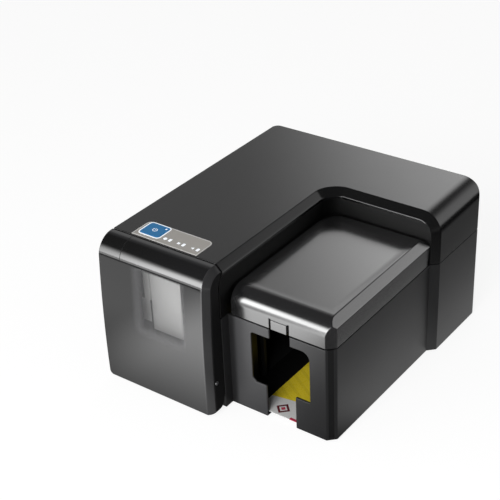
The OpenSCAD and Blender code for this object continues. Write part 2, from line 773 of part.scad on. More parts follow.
module hopper_lid() color("#5a5c60") {
  difference() {
    union() {
      difference() {
        lid_form(0, lid_z0);
        difference() {
          lid_form(wall, lid_z0 - over);
          block([dish_x[0], dish_y[0], lid_z1 - wall - lid_dish], [dish_x[1], dish_y[1], lid_z1]);
        }
        intersection() {
          y_prism(dish_y[0] - over, dish_y[1] + over) dish_outline(dish_x);
          x_prism(dish_x[0] - over, dish_x[1] + over) dish_outline(dish_y);
        }
        // The back is open below the hinge axis
        block([lid_x0 + lid_corner_r, lid_py, lid_z0 - over], [hop_x - wall, lid_y1 + over, lid_pz]);
      }
      for (x = lid_lug_x) {
        x_rod(x, x + lid_lug_t, lid_py, lid_pz, 2 * lid_ear_r);
        block([x, lid_py - lid_ear_r, lid_pz], [x + lid_lug_t, lid_py + lid_ear_r, lid_z1 - wall + bond]);
      }
    }
    for (x = lid_lug_x)
      x_rod(x - over, x + lid_lug_t + over, lid_py, lid_pz, lid_pin_d + 2 * fit_run);
    block([tab_x0 - tab_gap, hop_y - over, lid_z0 - over],
      [tab_x0 + tab_w + tab_gap, hop_y + wall + over, lid_z0 + tab_h]);
  }
}

// Pad that fills the notch in the lid's front, with a tongue behind the wall
module lid_tab() color("#6a6c70") {
  block([tab_x0, hop_y - 0.6, lid_z0], [tab_x0 + tab_w, hop_y + wall + bond, lid_z0 + tab_h - 0.5]);
  block([tab_x0 - 4, hop_y + wall, lid_z0 + 2], [tab_x0 + tab_w + 4, hop_y + wall + 2, lid_z0 + tab_h + 1.5]);
}

module lid_hinge_pins() color("silver") {
  for (i = [0, 1])
    x_rod(min(lid_lug_x[i], lid_post_x[i]), max(lid_lug_x[i] + lid_lug_t, lid_post_x[i] + lid_post_t), lid_py, lid_pz,
      lid_pin_d);
}

// Control panel

module control_panel() color("#a3a29e") {
  z0 = body_h - panel_seat;
  difference() {
    z_prism(z0, z0 + panel_t) panel_outline(0);
    z_prism(z0 - over, z0 + panel_t + over)
      round_rect(button_x0 - fit_clear, button_y0 - fit_clear, button_x0 + button_w + fit_clear,
        button_y0 + button_d + fit_clear, 3);
    for (p = lens_at)
      z_rod(z0 - over, z0 + panel_t + over, p[0], p[1], lens_d + 2 * fit_run);
  }
}

module power_button() color("#2d73aa") {
  flange_z = body_h - wall;
  difference() {
    union() {
      z_prism(flange_z - bond, body_h + button_h)
        round_rect(button_x0, button_y0, button_x0 + button_w, button_y0 + button_d, 2.6);
      z_prism(flange_z - 1.2, flange_z)
        round_rect(button_x0 - 1, button_y0 - 1, button_x0 + button_w + 1, button_y0 + button_d + 1, 3);
      z_rod(panel_board_z + board_t + 3.5 + button_travel + 0.3, flange_z - bond, button_x0 + button_w / 2,
        button_y0 + button_d / 2, 5);
    }
    z_rod(flange_z - 2 * wall, body_h + 2, slit_at[0], slit_at[1], lens_d + 2 * fit_clear);
  }
}

// Light pipes of the three indicators and of the button's corner
module status_lenses() color("white") {
  for (p = concat(lens_at, [slit_at]))
    z_rod(panel_board_z + board_t, body_h + panel_t - panel_seat, p[0], p[1], lens_d);
}

module panel_board() color("#1e5a34") {
  block([panel_x0 + 1, panel_y0 + 1, panel_board_z],
    [panel_x0 + panel_w - 1, panel_board_y1, panel_board_z + board_t]);
}

module power_switch() color("#202124") {
  z0 = panel_board_z + board_t;
  x = button_x0 + button_w / 2;
  y = button_y0 + button_d / 2;
  block([x - 3, y - 3, z0], [x + 3, y + 3, z0 + 2.5]);
  z_rod(z0 + 2.5, z0 + 3.5, x, y, 3);
}

// Cards

module card(x0, y0, z0) {
  z_prism(z0, z0 + card_t) round_rect(x0, y0, x0 + card_w, y0 + card_l, card_r);
}

module output_card() color("#e9c84a") {
  card(card_x0, card_y0, bin_floor);
}

module blank_cards() color("white") {
  for (i = [0 : card_count - 1])
    card(stack_x0, stack_y0, card_z + i * card_t);
}

// Card feed

module input_tray() color("#232426") {
  gate_x = stack_x0 - fit_clear;
  post_y0 = lid_py - lid_ear_r;
  post_y1 = lid_py + 1;
  difference() {
    union() {
      block([tray_x0, tray_y0, tray_z0], [tray_x1, tray_y1, card_z]);
      // Guides at the front, right and back of the stack, and the gate that lets one card through
      block([stack_x0, stack_y0 - fit_clear - guide_t, card_z - bond],
        [stack_x0 + card_w, stack_y0 - fit_clear, card_z + guide_h]);
      block([stack_x0 + 2 * gear_r, stack_y1 + fit_clear, card_z - bond],
        [stack_x0 + card_w, stack_y1 + fit_clear + guide_t, card_z + guide_h]);
      block([stack_x0 + card_w + fit_clear, stack_y0, card_z - bond],
        [stack_x0 + card_w + fit_clear + guide_t, stack_y1, card_z + guide_h]);
      for (y = [stack_y0 - fit_clear - guide_t, stack_y1 + fit_clear])
        block([gate_x - guide_t, y, card_z - bond], [gate_x, y + guide_t, card_z + guide_h]);
      block([gate_x - guide_t, stack_y0 - fit_clear - bond, card_z + card_t + fit_clear],
        [gate_x, stack_y1 + fit_clear + bond, card_z + guide_h]);
      // Front legs
      for (x = [tray_x0, tray_x1 - leg_w])
        block([x, tray_y0, wall], [x + leg_w, tray_y0 + leg_w, tray_z0 + bond]);
      // Front bearing of the pick roller
      block([pick_x - shaft_d, tray_y0, roller_z - shaft_d], [pick_x + shaft_d, tray_y0 + plate_t, tray_z0 + bond]);
      // Posts of the lid's hinge
      for (x = lid_post_x) {
        block([x, post_y0, card_z - bond], [x + lid_post_t, post_y1, lid_pz]);
        x_rod(x, x + lid_post_t, lid_py, lid_pz, 2 * lid_ear_r);
      }
    }
    y_rod(tray_y0 - over, tray_y0 + plate_t + over, pick_x, roller_z, shaft_d + 2 * fit_run);
    // Windows over the pick roller and over the gears
    block([pick_x - roller_r - 2, stack_y0 + card_l / 2 - pick_w / 2 - 2, tray_z0 - over],
      [pick_x + roller_r + 2, stack_y0 + card_l / 2 + pick_w / 2 + 2, card_z + over]);
    block([tray_x0 - over, gear_y - 1.5, tray_z0 - over],
      [pick_x + gear_r + gear_module + 1.5, gear_y + gear_w + 1.5, card_z + over]);
    for (x = lid_post_x)
      x_rod(x - over, x + lid_post_t + over, lid_py, lid_pz, lid_pin_d + 2 * fit_press);
  }
}

module roller_shaft(x) {
  y_rod(tray_y0, gear_plate_y + plate_t, x, roller_z, shaft_d);
}

module tyre(x, y0, y1) {
  difference() {
    y_rod(y0, y1, x, roller_z, 2 * roller_r);
    y_rod(y0 - over, y1 + over, x, roller_z, shaft_d + 2 * fit_press);
  }
}

module pick_shaft() color("silver") roller_shaft(pick_x);

module pick_tyre() color("#151515") {
  tyre(pick_x, stack_y0 + card_l / 2 - pick_w / 2, stack_y0 + card_l / 2 + pick_w / 2);
}

module pick_gear() color("white") gear(gear_teeth, pick_x, roller_z, 0, shaft_d + 2 * fit_press);

module feed_shaft() color("silver") {
  y_rod(front_plate_y, gear_plate_y + plate_t, feed_x, roller_z, shaft_d);
}

module feed_tyre() color("#151515") tyre(feed_x, stack_y0 + 4, stack_y1 - 4);

module feed_gear() color("white") gear(gear_teeth, feed_x, roller_z, 0, shaft_d + 2 * fit_press);

module pinch_roller() color("#303030") {
  y_rod(stack_y0 + 4, stack_y1 - 4, feed_x, pinch_z, 2 * pinch_r);
  y_rod(front_plate_y, gear_plate_y + plate_t, feed_x, pinch_z, pinch_d);
}

module idler_gear() color("white") {
  gear(gear_teeth, idler_x, roller_z, 180 / gear_teeth, idler_pin_d + 2 * fit_run);
}

module idler_pin() color("silver") {
  y_rod(gear_y - 1, gear_plate_y + plate_t, idler_x, roller_z, idler_pin_d);
}

module motor_pinion() color("white") {
  gear_disc(pinion_teeth, idler_x, pinion_z, 0);
  y_rod(gear_y, gear_plate_y + plate_t + 6, idler_x, pinion_z, 3);
}

module feed_motor() color("#8d9094") {
  y0 = gear_plate_y + plate_t;
  difference() {
    union() {
      y_rod(y0, y0 + feed_motor_l, idler_x, pinion_z, feed_motor_d);
      y_rod(y0 - plate_t, y0 + bond, idler_x, pinion_z, 9);
    }
    y_rod(y0 - plate_t - over, y0 + 8, idler_x, pinion_z, 3 + 2 * fit_run);
  }
}

// Ear of a feed plate that carries the pinch roller's journal
module pinch_ear(y0) {
  block([feed_x - 6, y0, roller_z], [feed_x + 6, y0 + plate_t, pinch_z + 5]);
}

module front_plate() color("#9a9da1") {
  x0 = holder_x0 + 2;
  x1 = bay_x - wall - 1.5;
  difference() {
    union() {
      block([x0, front_plate_y, wall], [x1, front_plate_y + plate_t, card_z - 6]);
      pinch_ear(front_plate_y);
    }
    for (p = [[roller_z, shaft_d], [pinch_z, pinch_d]])
      y_rod(front_plate_y - over, front_plate_y + plate_t + over, feed_x, p[0], p[1] + 2 * fit_run);
  }
}

module gear_plate() color("#9a9da1") {
  difference() {
    union() {
      block([holder_x0 + 2, gear_plate_y, wall], [bay_x - wall, gear_plate_y + plate_t, card_z - 6]);
      block([bay_x - wall - bond, gear_plate_y, wall], [hop_x - 12, gear_plate_y + plate_t, tray_z0]);
      pinch_ear(gear_plate_y);
    }
    for (p = [[feed_x, roller_z, shaft_d + 2 * fit_run], [pick_x, roller_z, shaft_d + 2 * fit_run],
        [feed_x, pinch_z, pinch_d + 2 * fit_run], [idler_x, roller_z, idler_pin_d + 2 * fit_press],
        [idler_x, pinion_z, 9 + 2 * fit_press]])
      y_rod(gear_plate_y - over, gear_plate_y + plate_t + over, p[0], p[1], p[2]);
  }
}

// Bed under the nozzles, held between the feed's two plates
module platen() color("#2b2c2e") {
  x1 = feed_x - roller_r - 2;
  gear_x0 = feed_x - gear_r - 2 * gear_module;
  difference() {
    block([holder_x0 + 4, front_plate_y + plate_t, card_z - 6], [x1, gear_plate_y, card_z]);
    for (i = [0 : 4])
      block([holder_x0 + 8 + 12 * i, stack_y0, card_z - 1.5], [holder_x0 + 14 + 12 * i, stack_y1, card_z + over]);
    // Room for the feed roller's gear
    block([gear_x0, gear_y - 1.5, card_z - 6 - over], [x1 + over, gear_plate_y + over, card_z + over]);
  }
  for (y = [front_plate_y + plate_t, gear_plate_y - 6])
    block([holder_x0 + 4, y, card_z - 14], [gear_x0, y + 6, card_z - 6 + bond]);
}

// Ink carriage

module bracket(y0) {
  y1 = y0 + bracket_t;
  difference() {
    union() {
      block([bracket_x0, y0, wall], [bracket_x0 + upright_w, y1, rod_at[1] + rod_d]);
      block([bracket_x0, y0, wall], [rail_x + rail_size + 4, y1, wall + 12]);
      block([rail_x - 4, y0, wall], [rail_x + rail_size + 4, y1, rail_z]);
    }
    y_rod(y0 - over, y1 + over, rod_at[0], rod_at[1], rod_d + 2 * fit_press);
  }
}

module front_bracket() color("#9a9da1") bracket(bracket_y0);

module rear_bracket() color("#9a9da1") bracket(bracket_y1);

module guide_rod() color("silver") y_rod(bracket_y0, bracket_y1 + bracket_t, rod_at[0], rod_at[1], rod_d);

module guide_rail() color("silver") {
  block([rail_x, bracket_y0, rail_z], [rail_x + rail_size, bracket_y1 + bracket_t, rail_z + rail_size]);
}

module carriage() color("#26272a") {
  bearing_y0 = ink_y0 + 8;
  bearing_y1 = ink_y0 + 38;
  foot_z = rail_z + rail_size + fit_clear;
  belt_face = belt_x + pulley_r + belt_gap + belt_t + belt_gap;
  difference() {
    union() {
      block([holder_x0, ink_y0 + ink_lip + fit_clear, carriage_z], [holder_x1, holder_y1, ink_z]);
      for (x = [holder_x0, holder_x1 - carriage_t])
        block([x, ink_y0, carriage_z], [x + carriage_t, holder_y1, rod_at[1] + 4]);
      block([holder_x0, holder_y1 - carriage_t, carriage_z], [holder_x1, holder_y1, rod_at[1] + 4]);
      // Bearing on the rod, foot on the rail and clamp beside the belt
      block([rod_at[0] - rod_d, bearing_y0, rod_at[1] - rod_d], [holder_x0 + bond, bearing_y1, rod_at[1] + rod_d]);
      block([holder_x1 - bond, bearing_y0, foot_z], [rail_x + rail_size, bearing_y1, foot_z + 3]);
      block([belt_face, ink_y0 + 27, belt_z], [holder_x0 + bond, ink_y0 + 38, belt_z + belt_w]);
    }
    y_rod(bearing_y0 - over, bearing_y1 + over, rod_at[0], rod_at[1], rod_d + 2 * fit_run);
    block([ink_x0 + 10, ink_y0 + 8, carriage_z - over], [ink_x0 + ink_w - 10, ink_y0 + ink_l - 8, ink_z + over]);
  }
}

module ink_cartridge() color("#b9bcc0") {
  difference() {
    x_prism(ink_x0, ink_x0 + ink_w)
      polygon([[ink_y0, carriage_z], [ink_y0 + ink_lip, carriage_z], [ink_y0 + ink_lip, ink_z],
        [ink_y0 + ink_l, ink_z], [ink_y0 + ink_l, ink_z + ink_h], [ink_y0, ink_z + ink_h]]);
    // Slot between the narrow and the wide ink chamber
    block([ink_split_x, ink_y0 - over, carriage_z - over],
      [ink_split_x + ink_split_w, ink_y0 + 1.2 * ink_lip, ink_z + ink_h + over]);
  }
  block([ink_x0 + 10.5, ink_y0 + 8.5, nozzle_z], [ink_x0 + ink_w - 10.5, ink_y0 + ink_l - 8.5, ink_z + bond]);
  block([ink_x0 + 12, ink_y0 - 1, ink_z + ink_h - 12], [ink_x0 + ink_w - 12, ink_y0 + bond, ink_z + ink_h - 4]);
}

module belt_loop(r) {
  translate([belt_x - r, pulley_y0]) square([2 * r, pulley_y1 - pulley_y0]);
  for (y = [pulley_y0, pulley_y1]) translate([belt_x, y]) circle(r);
}

module drive_belt() color("#111111") {
  difference() {
    z_prism(belt_z, belt_z + belt_w) belt_loop(pulley_r + belt_gap + belt_t);
    z_prism(belt_z - over, belt_z + belt_w + over) belt_loop(pulley_r + belt_gap);
  }
}

module pulley(y) {
  z0 = belt_z - belt_gap - flange_t;
  z1 = belt_z + belt_w + belt_gap;
  z_rod(z0, z0 + flange_t, belt_x, y, 2 * flange_r);
  z_rod(z0, z1 + flange_t, belt_x, y, 2 * pulley_r);
  z_rod(z1, z1 + flange_t, belt_x, y, 2 * flange_r);
}

module motor_pulley() color("#c9cacc") {
  pulley(pulley_y1);
  z_rod(pulley_plate_z - 8, belt_z, belt_x, pulley_y1, pulley_shaft_d);
}

module idler_pulley() color("#c9cacc") {
  difference() {
    pulley(pulley_y0);
    z_rod(pulley_plate_z, seam_z + 3 * belt_w, belt_x, pulley_y0, pulley_shaft_d + 2 * fit_run);
  }
}

module idler_axle() color("silver") {
  z_rod(pulley_plate_z - 2, belt_z + belt_w + 3, belt_x, pulley_y0, pulley_shaft_d);
}

module idler_plate() color("#9a9da1") {
  difference() {
    block([bracket_x0, bracket_y0 + bracket_t, pulley_plate_z - 2],
      [belt_x + pulley_r + 2, pulley_y0 + 6, pulley_plate_z]);
    z_rod(pulley_plate_z - 2 * over - 2, pulley_plate_z + over, belt_x, pulley_y0, pulley_shaft_d + 2 * fit_press);
  }
}

module carriage_motor() color("#8d9094") {
  z1 = pulley_plate_z - 2;
  difference() {
    union() {
      z_rod(z1 - carriage_motor_l, z1, belt_x, pulley_y1, carriage_motor_d);
      z_rod(z1 - bond, pulley_plate_z, belt_x, pulley_y1, 9);
    }
    z_rod(z1 - 10, pulley_plate_z + over, belt_x, pulley_y1, pulley_shaft_d + 2 * fit_run);
  }
}

module motor_plate() color("#9a9da1") {
  difference() {
    block([bracket_x0, pulley_y1 - carriage_motor_d / 2, pulley_plate_z - 2],
      [belt_x + carriage_motor_d / 2, bracket_y1, pulley_plate_z]);
    z_rod(pulley_plate_z - 2 - over, pulley_plate_z + over, belt_x, pulley_y1, 9 + 2 * fit_press);
  }
}

// Cleaning and capping station below the parked cartridge, on a dark stand
module service_station() color("#c3c4c4") {
  z1 = nozzle_z - fit_clear - 4;
  x0 = ink_x0 + 1;
  x1 = ink_x0 + ink_w - 1;
  y1 = station_y0 + station_d;
  difference() {
    x_prism(x0, x1) polygon([[station_y0, station_z], [y1, station_z], [y1, z1], [station_y0 + station_wall, z1],
      [station_y0 + station_wall, nozzle_z - fit_clear], [station_y0, nozzle_z - fit_clear]]);
    block([x0 + station_wall, station_y0 + station_wall, station_z + station_wall],
      [x1 - station_wall, y1 - station_wall, z1 - station_wall]);
    block([x0 + 3 * station_wall, station_y0 + 2 * station_wall, z1 - station_wall - over],
      [x1 - 3 * station_wall, y1 - 2 * station_wall, z1 + over]);
    block([ink_split_x, station_y0 - over, station_z - over],
      [ink_split_x + ink_split_w, station_y0 + station_wall / 2, nozzle_z + over]);
  }
}

module station_stand() color("#1d1e20") {
  block([ink_x0 + 2, station_y0 + 1, wall], [ink_x0 + ink_w - 2, station_y0 + station_d - 1, station_z]);
}

module print_cap() color("#2c2d30") {
  z1 = nozzle_z - fit_clear;
  rim = station_d / 7;
  lip = station_d / 4;
  difference() {
    block([ink_x0 + 8, station_y0 + rim, z1 - 4], [ink_x0 + ink_w - 8, station_y0 + station_d - rim, z1]);
    block([ink_x0 + 11, station_y0 + lip, z1 - 2], [ink_x0 + ink_w - 11, station_y0 + station_d - lip, z1 + over]);
  }
}

// Electronics and fixings

module main_board() color("#1e5a34") {
  block([board_x0, board_y0, board_z], [board_x0 + board_w, board_y0 + board_d, port_z]);
  block([board_x0 + 24, board_y0 + 18, port_z - bond], [board_x0 + 42, board_y0 + 36, port_z + 1.6]);
  block([board_x0 + 56, board_y0 + 12, port_z - bond], [board_x0 + 68, board_y0 + 20, port_z + 6]);
}

module usb_port() color("#b4b6b8") {
  y0 = port_y1 - usb_size[1];
  difference() {
    block([usb_x, y0, port_z], [usb_x + usb_size[0], port_y1, port_z + usb_size[2]]);
    block([usb_x + 1.6, y0 + 5, port_z + 1.4],
      [usb_x + usb_size[0] - 1.6, port_y1 + over, port_z + usb_size[2] - 1.4]);
  }
}

module power_inlet() color("#1a1a1b") {
  y0 = port_y1 - inlet_size[1];
  x = inlet_x + inlet_size[0] / 2;
  z = port_z + inlet_size[2] / 2;
  difference() {
    block([inlet_x, y0, port_z], [inlet_x + inlet_size[0], port_y1, port_z + inlet_size[2]]);
    y_rod(y0 + 4, port_y1 + over, x, z, 6.4);
  }
  y_rod(y0 + 2, port_y1 - 1, x, z, 2);
}

module rubber_feet() color("#141414") {
  for (p = foot_at) z_rod(-foot_h, 0, p[0], p[1], foot_d);
}

module cover_screws() color("#b8babc") {
  for (x = screw_x) difference() {
    union() {
      y_rod(yb - wall - 5, yb - 1 + bond, x, screw_z, screw_d);
      y_rod(yb - 1, yb, x, screw_z, screw_head_d);
    }
    y_rod(yb - screw_socket_h, yb + over, x, screw_z, screw_socket_d, $fn = 6);
  }
}

stand() base_shell();
stand() top_cover();
stand() front_door();
stand() door_rivet();
stand() door_hinge_ears();
stand() door_hinge_pins();
stand() door_catch();
stand() hopper_lid();
stand() lid_tab();
stand() lid_hinge_pins();
stand() control_panel();
stand() power_button();
stand() status_lenses();
stand() panel_board();
stand() power_switch();
stand() output_card();
stand() input_tray();
stand() blank_cards();
stand() pick_shaft();
stand() pick_tyre();
stand() pick_gear();
stand() feed_shaft();
stand() feed_tyre();
stand() feed_gear();
stand() pinch_roller();
stand() idler_gear();
stand() idler_pin();
stand() motor_pinion();
stand() feed_motor();
stand() front_plate();
stand() gear_plate();
stand() platen();
stand() front_bracket();
stand() rear_bracket();
stand() guide_rod();
stand() guide_rail();
stand() carriage();
stand() ink_cartridge();
stand() drive_belt();
stand() motor_pulley();
stand() idler_pulley();
stand() idler_axle();
stand() idler_plate();
stand() carriage_motor();
stand() motor_plate();
stand() service_station();
stand() station_stand();
stand() print_cap();
stand() main_board();
stand() usb_port();
stand() power_inlet();
stand() rubber_feet();
stand() cover_screws();
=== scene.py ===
"""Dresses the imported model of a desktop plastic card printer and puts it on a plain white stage."""

import json
import math

import bmesh
import bpy
from mathutils import Matrix, Vector


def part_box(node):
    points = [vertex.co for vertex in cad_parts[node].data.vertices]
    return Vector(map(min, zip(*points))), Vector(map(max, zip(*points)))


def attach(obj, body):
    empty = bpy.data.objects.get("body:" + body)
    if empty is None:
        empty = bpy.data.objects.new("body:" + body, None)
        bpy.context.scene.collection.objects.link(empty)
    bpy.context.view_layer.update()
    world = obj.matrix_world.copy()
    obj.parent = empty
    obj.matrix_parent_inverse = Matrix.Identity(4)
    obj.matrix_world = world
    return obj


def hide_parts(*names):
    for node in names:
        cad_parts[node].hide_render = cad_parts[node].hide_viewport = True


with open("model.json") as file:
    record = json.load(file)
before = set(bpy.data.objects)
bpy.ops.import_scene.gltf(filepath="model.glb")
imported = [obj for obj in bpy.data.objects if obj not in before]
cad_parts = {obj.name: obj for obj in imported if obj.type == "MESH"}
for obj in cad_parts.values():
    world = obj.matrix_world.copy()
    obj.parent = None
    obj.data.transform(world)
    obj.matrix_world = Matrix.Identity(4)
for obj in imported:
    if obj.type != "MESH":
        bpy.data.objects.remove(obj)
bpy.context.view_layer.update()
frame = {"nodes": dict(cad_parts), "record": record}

bl_info = {
    "name": "Plastic card printer",
    "version": (1, 0, 0),
    "blender": (4, 5, 0),
    "location": "View3D > Sidebar > Card printer",
    "description": "Makes the visible pieces of a desktop plastic card printer around its packed solids",
    "category": "Object",
}

MM = 0.001
# Bow of the door's front: its radius and the height at which it stands furthest out, in millimetres
BOW_RADIUS = 1330.0
BOW_HEIGHT = 37.0
# Height of the groove over the door's front panel, in millimetres
PANEL_TOP = 135.0
# Distance at which a solid's loose corners are joined, and a new piece's doubles, in metres
WELD = 2e-6
MERGE = 1e-7
# Faces that meet at a smaller angle are made one before a copy is rounded, in degrees
FLAT_ANGLE = 0.15
WHITE = (1.0, 1.0, 1.0, 1.0)


# Sizes and colours that a user would change


def length(name, description, default):
    """A length in metres."""
    return bpy.props.FloatProperty(
        name=name, description=description, default=default, min=0.0, precision=5, unit="LENGTH")


def colour(name, description, default):
    """A linear colour."""
    return bpy.props.FloatVectorProperty(
        name=name, description=description, default=default, min=0.0, max=1.0, size=3, subtype="COLOR")


class PrinterSizes(bpy.types.PropertyGroup):
    """Sizes of the details that the solids leave out."""

    shell_edge: length("Shell edge", "Width of the rounded edges of the casing's mouldings", 0.7 * MM)
    small_edge: length("Small edge", "Width of the rounded edges of small mouldings", 0.35 * MM)
    metal_edge: length("Metal edge", "Width of the broken edges of plates and boards", 0.2 * MM)
    trim_width: length("Trim width", "Width of the pale line around the control panel", 0.7 * MM)
    rim_width: length("Rim width", "Width of the pale frame around the power button", 0.9 * MM)
    print_height: length("Print height", "Thickness of the printed signs", 0.06 * MM)
    sign_radius: length("Sign radius", "Radius of the power sign's ring", 2.3 * MM)


class PrinterColours(bpy.types.PropertyGroup):
    """Colours of the finishes."""

    cover: colour("Cover", "Satin plastic of the top cover", (0.005, 0.005, 0.0052))
    # The base has this colour only at the lit left of the hopper's front; elsewhere it is painted darker as shade
    base: colour("Base", "Grained plastic of the base, at its palest", (0.062, 0.062, 0.0645))
    lid: colour("Lid", "Satin plastic of the hopper lid", (0.012, 0.012, 0.0125))
    # Painted light and shade on the door: the left is painted darker than the right, the window's light grey stands
    # for the lit ink parts behind it, and the edge colour is a painted highlight on the bevel and along the top
    smoke_shaded_left: colour("Smoke, left", "Smoked plastic at the left of the door", (0.006, 0.006, 0.006))
    smoke_lit_right: colour("Smoke, right", "Smoked plastic at the right of the door", (0.010, 0.010, 0.0105))
    smoke_window_light: colour("Smoke, window", "Milky smoke in front of the ink parts", (0.185, 0.185, 0.19))
    smoke_edge_highlight: colour("Smoke, edge", "Smoked plastic of the bevel at the door's right", (0.030, 0.030, 0.031))
    panel: colour("Panel", "Warm grey of the control panel", (0.42, 0.40, 0.37))
    button: colour("Button", "Blue of the power button", (0.011, 0.140, 0.33))
    lens: colour("Lens", "Milky light pipes and printed signs", (0.80, 0.84, 0.88))
    inner: colour("Inner", "Black inner mouldings", (0.018, 0.018, 0.019))
    pale: colour("Pale", "Pale plastic of the ink parts", (0.76, 0.76, 0.75))
    gear: colour("Gear", "Natural plastic of the gears", (0.72, 0.71, 0.66))
    card: colour("Card", "White of the cards", (0.80, 0.80, 0.79))
    card_field: colour("Card field", "Yellow field of the printed card", (0.95, 0.74, 0.04))
    card_mark: colour("Card mark", "Dark red mark of the printed card", (0.12, 0.012, 0.02))
    card_bar: colour("Card bar", "Bright red bar and core of the printed card", (0.55, 0.05, 0.10))
    rubber: colour("Rubber", "Feet, rollers and belt", (0.020, 0.020, 0.020))
    steel: colour("Steel", "Ground steel", (0.56, 0.56, 0.57))
    plate: colour("Plate", "Black coated sheet", (0.030, 0.030, 0.032))
    can: colour("Motor can", "Zinc plated cans", (0.42, 0.43, 0.44))
    board: colour("Board", "Green solder mask", (0.012, 0.10, 0.04))


def sizes():
    return bpy.context.scene.card_printer_sizes


def colours():
    return bpy.context.scene.card_printer_colours


# Shader maths


class Field:
    """A node's output, so that shader maths reads as Python expressions."""

    def __init__(self, tree, socket):
        self.tree = tree
        self.socket = socket

    def math(self, operation, first, second=0.0):
        return self.tree.add("ShaderNodeMath", {"operation": operation}, {0: first, 1: second})

    def __add__(self, other):
        return self.math("ADD", self, other)

    def __radd__(self, other):
        return self.math("ADD", other, self)

    def __sub__(self, other):
        return self.math("SUBTRACT", self, other)

    def __rsub__(self, other):
        return self.math("SUBTRACT", other, self)

    def __mul__(self, other):
        return self.math("MULTIPLY", self, other)

    def __rmul__(self, other):
        return self.math("MULTIPLY", other, self)

    def __truediv__(self, other):
        return self.math("DIVIDE", self, other)

    def __lt__(self, other):
        return self.math("LESS_THAN", self, other)

    def __gt__(self, other):
        return self.math("GREATER_THAN", self, other)

    def __abs__(self):
        return self.math("ABSOLUTE", self)

    def fract(self):
        return self.math("FRACT", self)

    def either(self, other):
        return self.math("MAXIMUM", self, other)

    def both(self, other):
        return self.math("MINIMUM", self, other)


class Tree:
    """The nodes of a material or of the world."""

    def __init__(self, owner):
        owner.use_nodes = True
        self.nodes = owner.node_tree.nodes
        self.links = owner.node_tree.links
        self.nodes.clear()

    def add(self, kind, settings=None, values=None, out=0):
        node = self.nodes.new(kind)
        for name, value in (settings or {}).items():
            setattr(node, name, value)
        for key, value in (values or {}).items():
            if isinstance(value, Field):
                self.links.new(value.socket, node.inputs[key])
            else:
                node.inputs[key].default_value = value
        return Field(self, node.outputs[out]) if node.outputs else None

    def place(self):
        return self.add("ShaderNodeTexCoord", out="Object")

    def parts(self, vector):
        split = self.add("ShaderNodeSeparateXYZ", None, {0: vector})
        return [Field(self, socket) for socket in split.socket.node.outputs]

    def millimetres(self, place):
        return [part / MM for part in self.parts(place)]

    def stretched(self, vector, scale):
        return self.add("ShaderNodeMapping", None, {"Vector": vector, "Scale": scale})

    def noise(self, vector, scale, detail=2.0):
        return self.add("ShaderNodeTexNoise", None, {"Vector": vector, "Scale": scale, "Detail": detail})

    def step(self, value, low, high):
        """0 below low, 1 above high and a soft rise between them."""
        return self.add("ShaderNodeMapRange", {"interpolation_type": "SMOOTHSTEP"},
                        {"Value": value, "From Min": low, "From Max": high})

    def blend(self, share, first, second):
        """The first colour where share is 0, the second where it is 1."""
        return self.add("ShaderNodeMix", {"data_type": "RGBA"}, {0: share, 6: first, 7: second}, out=2)

    def bump(self, height, strength, distance):
        return self.add("ShaderNodeBump", None, {"Height": height, "Strength": strength, "Distance": distance})

    def surface(self, values):
        shader = self.add("ShaderNodeBsdfPrincipled", None, values)
        self.add("ShaderNodeOutputMaterial", None, {"Surface": shader})


def shade(rgb, factor=1.0):
    """A colour as a socket takes it, made lighter or darker."""
    return tuple(channel * factor for channel in rgb) + (1.0,)


# Finishes, one for each material slot of the record


def corners(node):
    """A solid's lowest and highest corner, in millimetres."""
    return tuple(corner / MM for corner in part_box(node))


def moulded(tree, rgb, rough, grain=0.5 * MM, depth=0.12, gloss=0.5, patch=0.05, coat=0.0, ior=1.5, glow=0.0,
            pale=None, shaded_recess=None):
    """Moulded plastic with a fine spark-eroded grain and a faint cloudiness.

    pale marks the lit place that keeps the full colour, while the rest is painted darker as shade; the recess mask
    marks walls in recesses, which are painted nearly black as shade and made rougher.
    """
    cloud_scale, cloud_detail, cloud_rough, grain_rough = 16.0, 3.0, 0.06, 0.08
    # Shares of the colour left by painted shade: away from the lit place, and in the recesses
    darker, black, dull_rough = 0.3, 0.1, 0.45
    place = tree.place()
    cloud = tree.noise(place, cloud_scale, cloud_detail)
    fine = tree.noise(place, 1.0 / grain)
    tone = tree.blend(cloud, shade(rgb, 1 - patch), shade(rgb, 1 + patch))
    roughness = rough + (cloud - 0.5) * cloud_rough + (fine - 0.5) * grain_rough
    spot = tree.millimetres(place) if pale or shaded_recess else ()
    # Painted light and shade: only the lit place keeps the full colour
    if pale:
        tone = tree.blend(pale(tree, spot), shade(rgb, darker), tone)
    # Painted shade in the recesses, which are also rougher
    if shaded_recess:
        hidden = shaded_recess(spot)
        tone = tree.blend(hidden, tone, shade(rgb, black))
        roughness = roughness + hidden * dull_rough
    tree.surface({
        "Base Color": tone,
        "Roughness": roughness,
        "IOR": ior,
        "Specular IOR Level": gloss,
        "Coat Weight": coat,
        "Coat Roughness": 0.12,
        # A glow in the plastic's own colour: painted light on the button and the printed signs
        "Emission Color": shade(rgb),
        "Emission Strength": glow,
        "Normal": tree.bump(fine, depth, 0.05 * MM),
    })


def lit_hopper_front(tree, spot):
    """The left of the hopper's front, where painted light keeps the base's full colour; elsewhere the base is painted
    darker as shade.
    """
    x, y, _ = spot
    low, high = corners("hopper_lid")
    rise, wall = 6.0, 1.0
    return tree.step(x, low.x, low.x + rise) * (1.0 - tree.step(x, low.x, high.x)) * (y < low.y + wall)


def hopper_inside_shade(spot):
    """The walls behind the hopper's front, which are painted nearly black as shade."""
    x, y, z = spot
    low, high = corners("hopper_lid")
    side, front, foot = 2.0, 1.5, 3.5
    return (x > low.x - side).both(x < high.x - side).both(y > low.y + front).both(y < high.y).both(z > foot)


def lid_recess_shade(spot):
    """The cover's walls around the hopper lid, which are painted nearly black as shade."""
    x, y, z = spot
    low, high = corners("hopper_lid")
    side, back, rise = 3.6, 1.1, 15.0
    return (x > low.x - side).both(y < high.y + back).both(z < high.z + rise)


